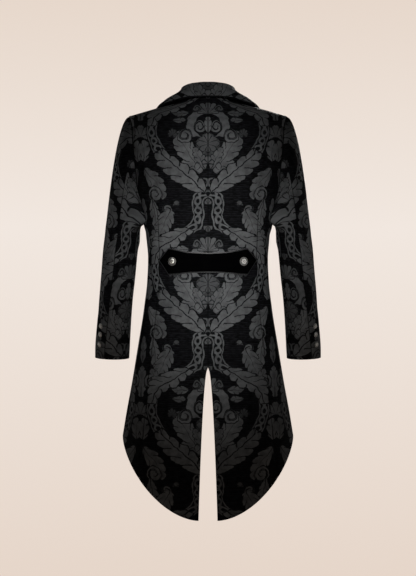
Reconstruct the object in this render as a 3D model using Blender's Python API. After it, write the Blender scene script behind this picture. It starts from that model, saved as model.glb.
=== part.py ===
"""A damask tailcoat on its own, filled out as it hangs on its wearer.

Metres, +Z up. The origin is the middle of the wearer's neck at the height of the nape seam.
+X points to the wearer's right, +Y to the front and -Y out of the back.
Every cloth piece is a wall on one torso form or one sleeve form, so that neighbours meet at
their seams. Left pieces are right pieces with X reversed.
"""

from collections import namedtuple
import math

import bpy
import numpy as np

CLOTH = 0.0020  # thickness of the lined damask
SEAM_GAP = 0.0003  # between two pieces that are sewn together
LAY_GAP = 0.0005  # between a piece and what lies on it
EASE = 0.0012  # between a front and what is turned back over it
VELVET = 0.0028  # thickness of the padded half belt

# The torso form: one row for each horizontal section, from the hem up.
# squareness is the exponent of the section's superellipse, and 2 is a plain ellipse.
Section = namedtuple("Section", "height half_width back front squareness")
TORSO = (
    Section(-1.1300, 0.2650, 0.152, 0.150, 2.20),
    Section(-0.8697, 0.2213, 0.137, 0.140, 2.20),
    Section(-0.7865, 0.2077, 0.132, 0.134, 2.20),
    Section(-0.7033, 0.1927, 0.126, 0.128, 2.20),
    Section(-0.6201, 0.1790, 0.119, 0.122, 2.20),
    Section(-0.5369, 0.1660, 0.108, 0.117, 2.20),
    Section(-0.4745, 0.1583, 0.098, 0.113, 2.25),
    Section(-0.4121, 0.1557, 0.093, 0.112, 2.30),
    Section(-0.3705, 0.1590, 0.097, 0.115, 2.30),
    Section(-0.3289, 0.1668, 0.104, 0.119, 2.30),
    Section(-0.2640, 0.1815, 0.115, 0.123, 2.35),
    Section(-0.2050, 0.1950, 0.122, 0.121, 2.30),
    Section(-0.1540, 0.2045, 0.123, 0.114, 2.20),
    Section(-0.1000, 0.2110, 0.118, 0.099, 2.05),
    Section(-0.0600, 0.2110, 0.106, 0.082, 1.85),
    Section(-0.0435, 0.2065, 0.095, 0.064, 1.75),
    Section(-0.0403, 0.1960, 0.093, 0.063, 1.75),
    Section(-0.0247, 0.1430, 0.083, 0.057, 1.75),
    Section(-0.0047, 0.0750, 0.068, 0.052, 1.90),
    Section(0.0030, 0.0690, 0.0645, 0.050, 2.00),
    Section(0.0400, 0.0640, 0.0610, 0.048, 2.00),
)
NAPE = 0.0110  # height of the neck seam at the middle of the back

# The sleeve form: sections down the arm, below the armpit. outer and inner are the half widths
# away from the body and towards it, and depth is half of front to back.
ArmSection = namedtuple("ArmSection", "height centre_x centre_y outer inner depth")
ARM = (
    ArmSection(-0.6710, 0.2504, 0.037, 0.0452, 0.0442, 0.0412),
    ArmSection(-0.6410, 0.2490, 0.031, 0.0458, 0.0446, 0.0430),
    ArmSection(-0.5785, 0.2443, 0.017, 0.0446, 0.0436, 0.0470),
    ArmSection(-0.5160, 0.2388, 0.006, 0.0445, 0.0430, 0.0520),
    ArmSection(-0.4540, 0.2325, -0.001, 0.0448, 0.0438, 0.0560),
    ArmSection(-0.3910, 0.2270, -0.004, 0.0452, 0.0446, 0.0590),
    ArmSection(-0.3450, 0.2215, -0.004, 0.0456, 0.0455, 0.0620),
    ArmSection(-0.3000, 0.2190, -0.002, 0.0430, 0.0432, 0.0640),
)
ARM_TOP = ARM[-1].height
CAP_SHARE = 0.42  # share of the sleeve's rows that lie above ARM_TOP
CAP_START, CAP_END = 0.200, 0.250  # how hard the cap's curve leaves the armpit and meets the arm
OVER_START, OVER_END = 0.022, 0.767  # and the same at the shoulder
CAP_LENGTH = 0.262  # from the armhole's top to ARM_TOP; shorter curves pull less
CAP_OVER, CAP_UNDER = (0.66, 0, -0.75), (0.45, 0, -0.89)  # directions at the shoulder and the armpit
CAP_DOWN = (0.105, 0, -0.994)  # direction at ARM_TOP
CAP_LEVELS = 0.12  # below ARM_TOP the sections turn square to the arm over this much height
SEAM_SHARE = 0.05  # the wall turns towards the armhole's middle over this share of the sleeve
ARMHOLE_ACROSS = 0.2
ARM_RADIUS = 0.05  # turns a seam gap into an angle

# The armhole, seen from the side: a rounded loop round the shoulder joint.
ARMHOLE_TOP = -0.0435
ARMHOLE_BOTTOM = -0.2640
ARMHOLE_BACK = 0.052
ARMHOLE_FRONT = 0.058
ARMHOLE_SQUARENESS = 2.3

# The tails: the hem's corner is where the edge passes the wearer's side.
HEM_BOTTOM = -1.0764
HEM_CORNER = -0.8697
HEM_ACROSS, HEM_DOWN = 1.77, 1.47  # exponents of the rounded back corner
VENT_TOP = -0.6916
VENT_HALF_GAP = 0.024
VENT_CURVE = 0.50

# The cutaway edge, from the wearer's side round to the front edge.
CutPoint = namedtuple("CutPoint", "angle height")
CUTAWAY = (
    CutPoint(90, -0.8697),
    CutPoint(105, -0.8330),
    CutPoint(120, -0.7800),
    CutPoint(135, -0.7120),
    CutPoint(150, -0.6360),
    CutPoint(162, -0.5740),
    CutPoint(172, -0.5320),
    CutPoint(180, -0.5130),
    CutPoint(192, -0.5020),
)

# Seam lines seen from behind, or from the front: how far each is from the middle.
LinePoint = namedtuple("LinePoint", "height across")
PRINCESS = (
    LinePoint(-0.9900, 0.1790),
    LinePoint(-0.8840, 0.1687),
    LinePoint(-0.7800, 0.1580),
    LinePoint(-0.7100, 0.1520),
    LinePoint(-0.6240, 0.1415),
    LinePoint(-0.5200, 0.1300),
    LinePoint(-0.4210, 0.1245),
    LinePoint(-0.3800, 0.1262),
    LinePoint(-0.3300, 0.1280),
    LinePoint(-0.2960, 0.1300),
    LinePoint(-0.2680, 0.1405),
    LinePoint(-0.2470, 0.1560),
)
BREAK_POINT = -0.3050  # where the lapels meet above the top button
LAP = 0.018  # how far each front runs past the middle
LAP_CLEAR, LAP_FADE = 0.028, 0.110  # the left front lies over the right one, and settles beside it
LAP_TOP = -0.1900
LAP_STEP = 0.0028  # each layer's rise where the fronts and lapels cross
ROLL_LINE = (
    LinePoint(-0.6500, -LAP),
    LinePoint(BREAK_POINT, -LAP),
    LinePoint(-0.0550, 0.0700),
    LinePoint(-0.0300, 0.0770),
    LinePoint(-0.0100, 0.0830),
)

# Where the panels' and the sleeves' points lie round the armhole, in degrees of its turn: the
# back runs from the princess seam up, the side under the arm, and the front up again.
BACK_TURNS = (-127, -108, -92, -77, -62, -47, -31, -15, 0)
SIDE_TURNS = (233, 216, 200, 183, 168, 153, 138)
FRONT_TURNS = (138, 124, 109, 93, 77, 62, 47, 31, 15, 0)
HINDARM_TURN, HINDARM_SHIFT = -92, 28  # the sleeve's back seam, and its turn on the way to the cuff
FOREARM_TURN, FOREARM_SHIFT = 109, 13

# The collar, from the middle of the back (along 0) to the gorge seam in front (along 1).
# stand is how far the roll is above the neck seam, and lean how far its inner side is outside
# that seam. reach is how far out the leaf's edge is and edge is the edge's height. facing is the
# direction in which the leaf falls, in degrees round from the back.
CollarSection = namedtuple("CollarSection", "along facing stand lean reach edge")
COLLAR = (
    CollarSection(0.00, 0, 0.0283, -0.0010, 0.0110, 0.0011),
    CollarSection(0.15, 22, 0.0300, -0.0010, 0.0120, 0.0011),
    CollarSection(0.30, 46, 0.0335, -0.0030, 0.0175, -0.0012),
    CollarSection(0.45, 69, 0.0355, -0.0080, 0.0330, -0.0090),
    CollarSection(0.60, 90, 0.0335, -0.0110, 0.0530, -0.0178),
    CollarSection(0.67, 95, 0.0325, -0.0100, 0.0575, -0.0205),
    CollarSection(0.75, 98, 0.0290, -0.0080, 0.0580, -0.0275),
    CollarSection(0.88, 90, 0.0170, -0.0030, 0.0615, -0.0430),
    CollarSection(1.00, 86, 0.0085, 0.0000, 0.0600, -0.0605),
)
COLLAR_SIDE = 0.60  # along, where the neck seam passes the shoulder seam
COLLAR_FRONT = 0.72  # along, where it turns down the roll line
GORGE = -0.0550  # height at which collar and lapel meet on the roll line
ROLL_RADIUS = 0.0035
TUCK_IN = 0.80  # the stand goes inside the fronts from a little before the shoulder seam on
TUCK_OVER = 0.10
LEAF_OUT, LEAF_DOWN = 0.45, 0.90  # the leaf's direction at the roll, outwards and down
LAID_OUT, LAID_DOWN = 0.95, 0.05  # and where it lies on the front at the gorge
LEAF_END = 1.05
SWELL, SWELL_FROM, SWELL_TO, SWELL_LOW = 0.0068, 0.20, 0.95, 1.7  # the leaf arches over the shoulders, between these
COLLAR_STATIONS = 12
LEAF_ROWS = 4

# The lapels: each row's roll is on the front panel's edge and its tip is this far out.
LapelRow = namedtuple("LapelRow", "height tip_across tip_height roll bend")
LAPEL = (
    LapelRow(-0.3000, -0.0080, -0.2980, 0.0000, 1.0),
    LapelRow(-0.2600, 0.0500, -0.2450, 0.0000, 1.0),
    LapelRow(-0.2000, 0.1000, -0.1800, 0.0010, 1.0),
    LapelRow(-0.1400, 0.1330, -0.1280, 0.0030, 1.0),
    LapelRow(-0.0900, 0.1490, -0.0960, 0.0050, 1.6),
    LapelRow(-0.0570, 0.1500, -0.0790, 0.0060, 3.0),
)
LAPEL_ROLL = 0.5  # the share of the lapel's breadth over which its roll stands up
LAPEL_COLUMNS = 8
LAPEL_ROWS = 12

# The half belt, seen from behind: its outline from the middle to the pointed end.
BeltPoint = namedtuple("BeltPoint", "across top bottom")
BELT = (
    BeltPoint(0.0000, -0.3986, -0.4496),
    BeltPoint(0.0450, -0.3965, -0.4510),
    BeltPoint(0.0800, -0.3905, -0.4540),
    BeltPoint(0.1010, -0.3868, -0.4550),
    BeltPoint(0.1240, -0.4175, -0.4180),
)
BELT_RIM = 0.0030  # the satin edge round the velvet
BELT_EASE = 0.0012  # the belt spans the hollow of the back
BELT_POINT = 0.0012  # the blunt height of its pointed ends
TIP_INSET, CORNER_INSET = 1.25, 0.60  # how far the velvet's ends move in for each inset of its edge
BELT_BUTTON_ACROSS, BELT_BUTTON_HEIGHT = 0.0885, -0.4212

# Metal buttons: a shank, a rim and a dome, from the shank's foot outwards.
ButtonRing = namedtuple("ButtonRing", "radius height")
BUTTON = (
    ButtonRing(0.22, 0.00),
    ButtonRing(0.22, 0.16),
    ButtonRing(0.92, 0.18),
    ButtonRing(1.00, 0.26),
    ButtonRing(0.94, 0.34),
    ButtonRing(0.80, 0.36),
    ButtonRing(0.62, 0.48),
    ButtonRing(0.32, 0.57),
)
BUTTON_TOP = 0.60
BELT_BUTTON, FRONT_BUTTON, CUFF_BUTTON = 0.0112, 0.0105, 0.0073  # radii
FRONT_BUTTON_HEIGHTS = (-0.3330, -0.4050, -0.4770)
CUFF_BUTTON_HEIGHTS = (-0.5832, -0.6045, -0.6305)
CUFF_BUTTON_TURN = -45  # on the sleeve's section, from straight out towards the back

# Row heights that the panels share above the waist; below it the rows follow the hem.
WAIST_ROW = -0.3200
TIP_LEVEL = -0.0620  # height on the far edge of the row that starts at the shoulder's tip
SHOULDER_ROWS = (-0.0390, -0.0310, -0.0240, -0.0170, -0.0105, -0.0047)
LOWER_ROWS = 16
ROW_SPREAD = 1.4  # above 1 the rows are closer at the waist, where the form is hollow
UNDERARM_ROWS = 4
BACK_COLUMNS = 9
FRONT_COLUMNS = 10
SLEEVE_ROWS = 21

DAMASK_GREY = (0.030, 0.031, 0.033)
VELVET_BLACK = (0.004, 0.004, 0.004)
SILVER = (0.62, 0.61, 0.58)


def through(rows, column, at):
    """A smooth curve through one column of a table that is sorted by its first column.

    Each stretch is a cubic, and the slopes are kept low enough that it never overshoots.
    """
    x = np.array([row[0] for row in rows], float)
    y = np.array([getattr(row, column) for row in rows], float)
    step = np.diff(x)
    rise = np.diff(y) / step
    slope = np.concatenate([rise[:1], np.zeros(len(x) - 2), rise[-1:]])
    same_way = rise[:-1] * rise[1:] > 0
    before = 2 * step[1:] + step[:-1]
    after = step[1:] + 2 * step[:-1]
    with np.errstate(divide="ignore", invalid="ignore"):
        mean = (before + after) / (before / rise[:-1] + after / rise[1:])
    slope[1:-1] = np.where(same_way, mean, 0.0)
    at = np.clip(np.asarray(at, float), x[0], x[-1])
    k = np.clip(np.searchsorted(x, at) - 1, 0, len(x) - 2)
    t = (at - x[k]) / step[k]
    return (
        (1 + 2 * t) * (1 - t) ** 2 * y[k]
        + t * (1 - t) ** 2 * step[k] * slope[k]
        + t * t * (3 - 2 * t) * y[k + 1]
        + t * t * (t - 1) * step[k] * slope[k + 1]
    )


def torso(angle, height):
    """Points of the torso form: angle runs from the middle of the back round the right side."""
    width = through(TORSO, "half_width", height)
    square = through(TORSO, "squareness", height)
    back = through(TORSO, "back", height)
    front = through(TORSO, "front", height)
    across, along = np.sin(angle), -np.cos(angle)
    deep = np.where(along < 0, back, front)
    radius = (np.abs(across / width) ** square + np.abs(along / deep) ** square) ** (-1 / square)
    return np.stack([radius * across, radius * along, height + 0 * angle], axis=-1)


def torso_normal(angle, height):
    """The outward direction of the torso form, from the points a little to each side."""
    turn, rise = 0.004, 0.0008
    round_it = torso(angle + turn, height) - torso(angle - turn, height)
    up = torso(angle, height + rise) - torso(angle, height - rise)
    normal = np.cross(round_it, up)
    return normal / np.linalg.norm(normal, axis=-1, keepdims=True)


def angle_at(across, height, front=False):
    """The form's angle where it is seen that far across, from behind or from the front."""
    width = through(TORSO, "half_width", height)
    square = through(TORSO, "squareness", height)
    deep = through(TORSO, "front" if front else "back", height)
    share = np.clip(np.abs(across) / width, 0, 1)
    along = deep * (1 - share**square) ** (1 / square)
    angle = np.arctan2(across, along)
    return math.pi - angle if front else angle


def armhole(turn):
    """(angle, height) round the armhole: turn 0 is its top, a quarter is its front, a half its foot."""
    middle = (ARMHOLE_TOP + ARMHOLE_BOTTOM) / 2
    tall = (ARMHOLE_TOP - ARMHOLE_BOTTOM) / 2
    power = 2 / ARMHOLE_SQUARENESS
    up, forward = np.cos(turn), np.sin(turn)
    height = middle + tall * np.sign(up) * np.abs(up) ** power
    wide = np.where(forward > 0, ARMHOLE_FRONT, ARMHOLE_BACK)
    y = wide * np.sign(forward) * np.abs(forward) ** power
    width = through(TORSO, "half_width", height)
    square = through(TORSO, "squareness", height)
    deep = np.where(y < 0, through(TORSO, "back", height), through(TORSO, "front", height))
    x = width * (1 - np.abs(y / deep) ** square) ** (1 / square)
    return np.arctan2(x, -y), height


def hem_line():
    """(angle, height) along the whole hem: the rounded tail, then the cutaway."""
    reach = through(TORSO, "half_width", HEM_CORNER) - VENT_HALF_GAP
    t = np.linspace(math.pi / 2, 0, 120)
    x = VENT_HALF_GAP + reach * np.cos(t) ** (2 / HEM_ACROSS)
    z = HEM_CORNER + (HEM_BOTTOM - HEM_CORNER) * np.sin(t) ** (2 / HEM_DOWN)
    tail = np.stack([angle_at(x, z), z], axis=-1)
    degrees = np.linspace(CUTAWAY[0].angle, CUTAWAY[-1].angle, 120)[1:]
    cut = np.stack([np.radians(degrees), through(CUTAWAY, "height", degrees)], axis=-1)
    return np.concatenate([tail, cut])


HEM = hem_line()


def hem_height(angle):
    return np.interp(angle, HEM[:, 0], HEM[:, 1])


def centre_back(height):
    """How far the back's edge is from the middle: a seam, and below it the open vent."""
    drop = np.clip((VENT_TOP - height) / (VENT_TOP - HEM_BOTTOM), 0, 1)
    return SEAM_GAP / 2 + (VENT_HALF_GAP - SEAM_GAP / 2) * drop**VENT_CURVE


PRINCESS_TOP = tuple(float(part) for part in armhole(math.radians(BACK_TURNS[0])))
SIDE_SEAM, SIDE_SEAM_TOP = (float(part) for part in armhole(math.radians(FRONT_TURNS[0])))


def princess_angle(height):
    """The seam between back and side: down from the armhole, in at the waist, out at the hem."""
    top = LinePoint(PRINCESS_TOP[1], float(torso(*PRINCESS_TOP)[0]))
    return angle_at(through(PRINCESS + (top,), "across", height), height)


def side_seam_angle(height):
    return SIDE_SEAM + 0 * height


def roll_angle(height):
    """The front panel's edge: straight below the break, and the lapel's roll line above it."""
    return angle_at(through(ROLL_LINE, "across", height), height, front=True)


def meets(line_angle, low, high):
    """The height between low and high at which a seam line reaches the hem."""
    height = np.linspace(low, high, 400)
    above = height - hem_height(line_angle(height))
    return float(np.interp(0, above, height))


def seam_rows(foot, underarm_top):
    """Row heights from the hem to the waist, and from there to the armhole or its level."""
    lower = WAIST_ROW + (foot - WAIST_ROW) * np.linspace(1, 0, LOWER_ROWS + 1) ** ROW_SPREAD
    return np.concatenate([lower, np.linspace(WAIST_ROW, underarm_top, UNDERARM_ROWS + 1)[1:]])


def coons(left, right, bottom, top):
    """Fills the space between four edges: each is a line of (angle, height) points."""
    rows, columns = len(left), len(bottom)
    v = np.linspace(0, 1, rows)[:, None, None]
    u = np.linspace(0, 1, columns)[None, :, None]
    across = (1 - u) * left[:, None] + u * right[:, None]
    upward = (1 - v) * bottom[None] + v * top[None]
    corners = (
        (1 - u) * (1 - v) * left[0] + u * (1 - v) * right[0] + (1 - u) * v * left[-1] + u * v * right[-1]
    )
    return across + upward - corners


def edge(angle, height):
    return np.stack([angle + 0 * height, height], axis=-1)


def seam_edge(angle, height, side, gap=SEAM_GAP / 2):
    """A seam line moved off its seam, square to it and along the form; side is +1 or -1.

    Side +1 moves an upward line towards larger angles.
    """
    points = torso(angle, height)
    along = np.gradient(points, axis=0)
    across = np.cross(along, torso_normal(angle, height))
    across *= side * gap / np.linalg.norm(across, axis=-1, keepdims=True)
    level = np.stack([np.cos(angle), np.sin(angle)], axis=-1)
    radius = np.linalg.norm(points[:, :2], axis=-1)
    turned = (across[:, :2] * level).sum(axis=-1) / radius
    return edge(angle + turned, height + across[:, 2])


def between(first, last, columns):
    """A straight edge of the plan between two (angle, height) corners."""
    t = np.linspace(0, 1, columns + 1)[:, None]
    return (1 - t) * first + t * last


def hem_between(first, last, columns):
    angle = np.linspace(first[0], last[0], columns + 1)
    height = hem_height(angle)
    height[0], height[-1] = first[1], last[1]
    return np.stack([angle, height], axis=-1)


def far_rows(foot, top, turns):
    """Row heights on the edge opposite the armhole, beside it and then beside the shoulder seam."""
    beside = np.linspace(foot, TIP_LEVEL, len(turns))[1:]
    return np.concatenate([beside, np.linspace(TIP_LEVEL, top, len(SHOULDER_ROWS) + 1)[1:]])


def up_to_neck(seam_angle, foot, turns):
    """The armhole side of a back or front: its long seam, its armhole and its shoulder seam."""
    angles, heights = armhole(np.radians(turns))
    seam = seam_rows(foot, heights[0])
    shoulder = np.array(SHOULDER_ROWS)
    angle = np.concatenate([seam_angle(seam), angles[1:], math.pi / 2 + 0 * shoulder])
    return angle, np.concatenate([seam, heights[1:], shoulder])


def neck_height(angle):
    """The neck seam's height over the back, from the nape down to the shoulder seam."""
    return NAPE + (SHOULDER_ROWS[-1] - NAPE) * np.sin(angle) ** 2


def back_plan(columns=BACK_COLUMNS):
    """(angle, height) over the back: middle seam and vent, princess seam, armhole, shoulder, neck."""
    foot = meets(princess_angle, -1.05, -0.80)
    right = seam_edge(*up_to_neck(princess_angle, foot, BACK_TURNS), -1)
    middle = np.concatenate([seam_rows(HEM_BOTTOM, PRINCESS_TOP[1]), far_rows(PRINCESS_TOP[1], NAPE, BACK_TURNS)])
    left = edge(angle_at(centre_back(middle), middle), middle)
    bottom = hem_between(left[0], right[0], columns)
    top = between(left[-1], right[-1], columns)
    top[:, 1] = neck_height(top[:, 0])
    return coons(left, right, bottom, top)


def side_plan():
    """(angle, height) over the side body, between the princess seam and the side seam."""
    foot = meets(princess_angle, -1.05, -0.80)
    rows = seam_rows(foot, PRINCESS_TOP[1])
    left = seam_edge(princess_angle(rows), rows, 1)
    rows = seam_rows(float(hem_height(SIDE_SEAM)), SIDE_SEAM_TOP)
    right = seam_edge(side_seam_angle(rows), rows, -1)
    bottom = hem_between(left[0], right[0], len(SIDE_TURNS) - 1)
    top = np.stack(armhole(np.radians(SIDE_TURNS)), axis=-1)
    top[0], top[-1] = left[-1], right[-1]
    return coons(left, right, bottom, top)


def front_plan(columns=FRONT_COLUMNS):
    """(angle, height) over a front: side seam, armhole, shoulder, roll line, front edge, cutaway."""
    foot = float(hem_height(SIDE_SEAM))
    left = seam_edge(*up_to_neck(side_seam_angle, foot, FRONT_TURNS), 1)
    edge_foot = meets(roll_angle, -0.60, -0.45)
    rise = far_rows(SIDE_SEAM_TOP, ROLL_LINE[-1].height, FRONT_TURNS)
    middle = np.concatenate([seam_rows(edge_foot, SIDE_SEAM_TOP), rise])
    right = edge(roll_angle(middle), middle)
    bottom = hem_between(left[0], right[0], columns)
    top = between(left[-1], right[-1], columns)
    return coons(left, right, bottom, top)


def arm_ring(turn, height):
    """Points of the sleeve's section at a height on the arm's line, square to that line."""
    x, y = through(ARM, "centre_x", height), through(ARM, "centre_y", height)
    outer, inner = through(ARM, "outer", height), through(ARM, "inner", height)
    deep = through(ARM, "depth", height)
    out = np.where(np.cos(turn) > 0, outer, inner) * np.cos(turn)
    forward = deep * np.sin(turn)
    step = 0.02
    lean_x = (through(ARM, "centre_x", height + step) - through(ARM, "centre_x", height - step)) / (2 * step)
    lean_y = (through(ARM, "centre_y", height + step) - through(ARM, "centre_y", height - step)) / (2 * step)
    tilt = np.clip((ARM_TOP - height) / CAP_LEVELS, 0, 1)
    return np.stack([x + out, y + forward, height - tilt * (lean_x * out + lean_y * forward)], axis=-1)


def sleeve(turn, share):
    """Points of the sleeve form: share runs from 0 at the armhole to 1 at the cuff.

    Above ARM_TOP each line round the arm is one Hermite curve from the armhole to the first
    section, and below it the sections follow each other.
    """
    turn, share = np.broadcast_arrays(np.asarray(turn, float), np.asarray(share, float))
    angle, height = armhole(turn)
    start = torso(angle, height)
    top = arm_ring(turn, ARM_TOP + 0 * turn)
    length = np.linalg.norm(top - start, axis=-1, keepdims=True)
    over = (1 + np.cos(turn))[..., None] / 2
    leave = over * np.array(CAP_OVER) + (1 - over) * np.array(CAP_UNDER)
    set_out = CAP_START + (OVER_START - CAP_START) * over
    arrive = CAP_END + (OVER_END - CAP_END) * over
    reach = length / CAP_LENGTH
    u = np.clip(share / CAP_SHARE, 0, 1)[..., None]
    cap = (
        (1 + 2 * u) * (1 - u) ** 2 * start
        + u * (1 - u) ** 2 * leave * set_out * reach
        + u * u * (3 - 2 * u) * top
        + u * u * (u - 1) * np.array(CAP_DOWN) * arrive * reach
    )
    down = np.clip((share - CAP_SHARE) / (1 - CAP_SHARE), 0, 1)
    arm = arm_ring(turn, ARM_TOP + (ARM[0].height - ARM_TOP) * down)
    return np.where(share[..., None] < CAP_SHARE, cap, arm)


def sleeve_inward(turn, share, points):
    """The direction into the sleeve: to the armhole's middle at its seam, then square to the cloth."""
    turn, share = np.broadcast_arrays(np.asarray(turn, float), np.asarray(share, float))
    step = 0.01
    near = np.clip(share, step, 1 - step)
    round_it = sleeve(turn + step, share) - sleeve(turn - step, share)
    down = sleeve(turn, near + step) - sleeve(turn, near - step)
    inward = np.cross(round_it, down)
    inward /= np.linalg.norm(inward, axis=-1, keepdims=True)
    middle = np.array([ARMHOLE_ACROSS, 0.0, (ARMHOLE_TOP + ARMHOLE_BOTTOM) / 2])
    to_middle = (middle - points) * np.array([0, 1, 1])
    to_middle /= np.linalg.norm(to_middle, axis=-1, keepdims=True)
    at_seam = np.clip(1 - share / SEAM_SHARE, 0, 1)[..., None]
    mixed = at_seam * to_middle + (1 - at_seam) * inward
    return mixed / np.linalg.norm(mixed, axis=-1, keepdims=True)


def grid_wall(outer, inner):
    """Vertices and faces of a closed wall between two grids of points, facing outwards.

    Columns run to the right as the outer grid is seen from outside, and rows run upwards.
    """
    rows, columns = outer.shape[:2]
    vertices = np.concatenate([outer.reshape(-1, 3), inner.reshape(-1, 3)])
    number = np.arange(rows * columns).reshape(rows, columns)
    a, b, c, d = number[:-1, :-1], number[:-1, 1:], number[1:, 1:], number[1:, :-1]
    front = np.stack([a, b, c, d], axis=-1).reshape(-1, 4)
    back = np.stack([a, d, c, b], axis=-1).reshape(-1, 4) + rows * columns
    rim = np.concatenate([number[0], number[1:, -1], number[-1, -2::-1], number[-2:0:-1, 0]])
    after = np.roll(rim, -1)
    under, under_after = rim + rows * columns, after + rows * columns
    rising = (vertices[after, 2] > vertices[rim, 2])[:, None]
    first = np.where(rising, np.stack([after, rim, under], -1), np.stack([after, rim, under_after], -1))
    last = np.where(
        rising, np.stack([after, under, under_after], -1), np.stack([rim, under, under_after], -1)
    )
    return vertices, [*front.tolist(), *back.tolist(), *first.tolist(), *last.tolist()]


def finish(name, vertices, faces, colour, metallic=0.0, roughness=0.8, smooth=True):
    """One named object with its own material, from a mesh whose faces already point outwards."""
    mesh = bpy.data.meshes.new(name)
    mesh.from_pydata(np.asarray(vertices).tolist(), [], faces)
    mesh.update()
    if smooth:
        mesh.shade_smooth()
        mesh.set_sharp_from_angle(angle=math.radians(40))
    material = bpy.data.materials.new(name)
    material.use_nodes = True
    shader = material.node_tree.nodes["Principled BSDF"]
    shader.inputs["Base Color"].default_value = (*colour, 1)
    shader.inputs["Roughness"].default_value = roughness
    shader.inputs["Metallic"].default_value = metallic
    mesh.materials.append(material)
    thing = bpy.data.objects.new(name, mesh)
    bpy.context.scene.collection.objects.link(thing)
    return thing


def mirrored(vertices, faces):
    return np.asarray(vertices) * np.array([-1, 1, 1]), [face[::-1] for face in faces]


def both_sides(name, vertices, faces, colour, **finish_as):
    """The right piece as it is, and the left piece reversed."""
    finish(name + "_right", vertices, faces, colour, **finish_as)
    finish(name + "_left", *mirrored(vertices, faces), colour, **finish_as)


def panel(plan, lift=0.0, thick=CLOTH):
    """A wall on the torso form: its outer face is moved out by lift, which may vary."""
    angle, height = plan[..., 0], plan[..., 1]
    points, normal = torso(angle, height), torso_normal(angle, height)
    raised = np.asarray(lift)[..., None] if np.ndim(lift) else lift
    outer = points + normal * raised
    return grid_wall(outer, outer - normal * thick)


def lap_lift(angle, height):
    """How far the left front is moved out, to lie over the right front and its lapel's foot."""
    across = torso(angle, height)[..., 0]
    over = np.clip((LAP_FADE - across) / (LAP_FADE - LAP - LAP_CLEAR), 0, 1)
    below_cross = np.clip((LAP_TOP + LAP_CLEAR - height) / LAP_CLEAR, 0, 1)
    above_break = np.clip((height - BREAK_POINT + LAP_CLEAR) / LAP_CLEAR, 0, 1)
    return LAP_STEP * over * below_cross * (1 + above_break)


def make_body():
    both_sides("back", *panel(back_plan()), DAMASK_GREY)
    both_sides("side", *panel(side_plan()), DAMASK_GREY)
    plan = front_plan()
    finish("front_right", *panel(plan), DAMASK_GREY)
    lift = lap_lift(plan[..., 0], plan[..., 1])
    finish("front_left", *mirrored(*panel(plan, lift)), DAMASK_GREY)


def sleeve_turns(turns, share, first_shift, last_shift):
    """The turn of each column at each row: both seams wander forward on the way to the cuff."""
    turns = np.array(turns, float)
    part = (turns - turns[0]) / (turns[-1] - turns[0])
    shift = first_shift + (last_shift - first_shift) * part
    return np.radians(turns[None, :] + share * shift[None, :])


def make_sleeves():
    share = np.linspace(0, 1, SLEEVE_ROWS + 1)[:, None]
    over = [turn for turn in BACK_TURNS if turn >= HINDARM_TURN]
    over += [turn for turn in FRONT_TURNS[::-1] if 0 < turn <= FOREARM_TURN]
    under = [turn for turn in FRONT_TURNS[::-1] if turn >= FOREARM_TURN]
    under += [turn for turn in SIDE_TURNS[::-1] if turn > FRONT_TURNS[0]]
    under += [turn + 360 for turn in BACK_TURNS if BACK_TURNS[0] < turn <= HINDARM_TURN]
    pieces = (
        ("sleeve_top", over, HINDARM_SHIFT, FOREARM_SHIFT),
        ("sleeve_under", under, FOREARM_SHIFT, HINDARM_SHIFT),
    )
    for name, turns, first_shift, last_shift in pieces:
        turn = sleeve_turns(turns, share, first_shift, last_shift)
        turn[:, 0] += SEAM_GAP / 2 / ARM_RADIUS
        turn[:, -1] -= SEAM_GAP / 2 / ARM_RADIUS
        points = sleeve(turn, share)
        inward = sleeve_inward(turn, share, points)
        points[0] += inward[0] * LAY_GAP + np.array([LAY_GAP, 0, 0])
        inner = points + inward * CLOTH
        both_sides(name, *grid_wall(points[::-1], inner[::-1]), DAMASK_GREY)


def neck_seam(along):
    """Points of the neck seam: over the back, past the shoulder seam and down the roll line."""
    along = np.asarray(along, float)
    back = math.pi / 2 * np.clip(along / COLLAR_SIDE, 0, 1)
    front_top = ROLL_LINE[-1].height
    part = np.clip((along - COLLAR_SIDE) / (COLLAR_FRONT - COLLAR_SIDE), 0, 1)
    angle = back + part * (float(roll_angle(front_top)) - math.pi / 2)
    height = neck_height(back) + part * (front_top - SHOULDER_ROWS[-1])
    down = np.clip((along - COLLAR_FRONT) / (1 - COLLAR_FRONT), 0, 1)
    roll = front_top + (GORGE - front_top) * down
    angle = np.where(down > 0, roll_angle(roll), angle)
    height = np.where(down > 0, roll, height)
    return torso(angle, height), torso_normal(angle, height)


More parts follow.
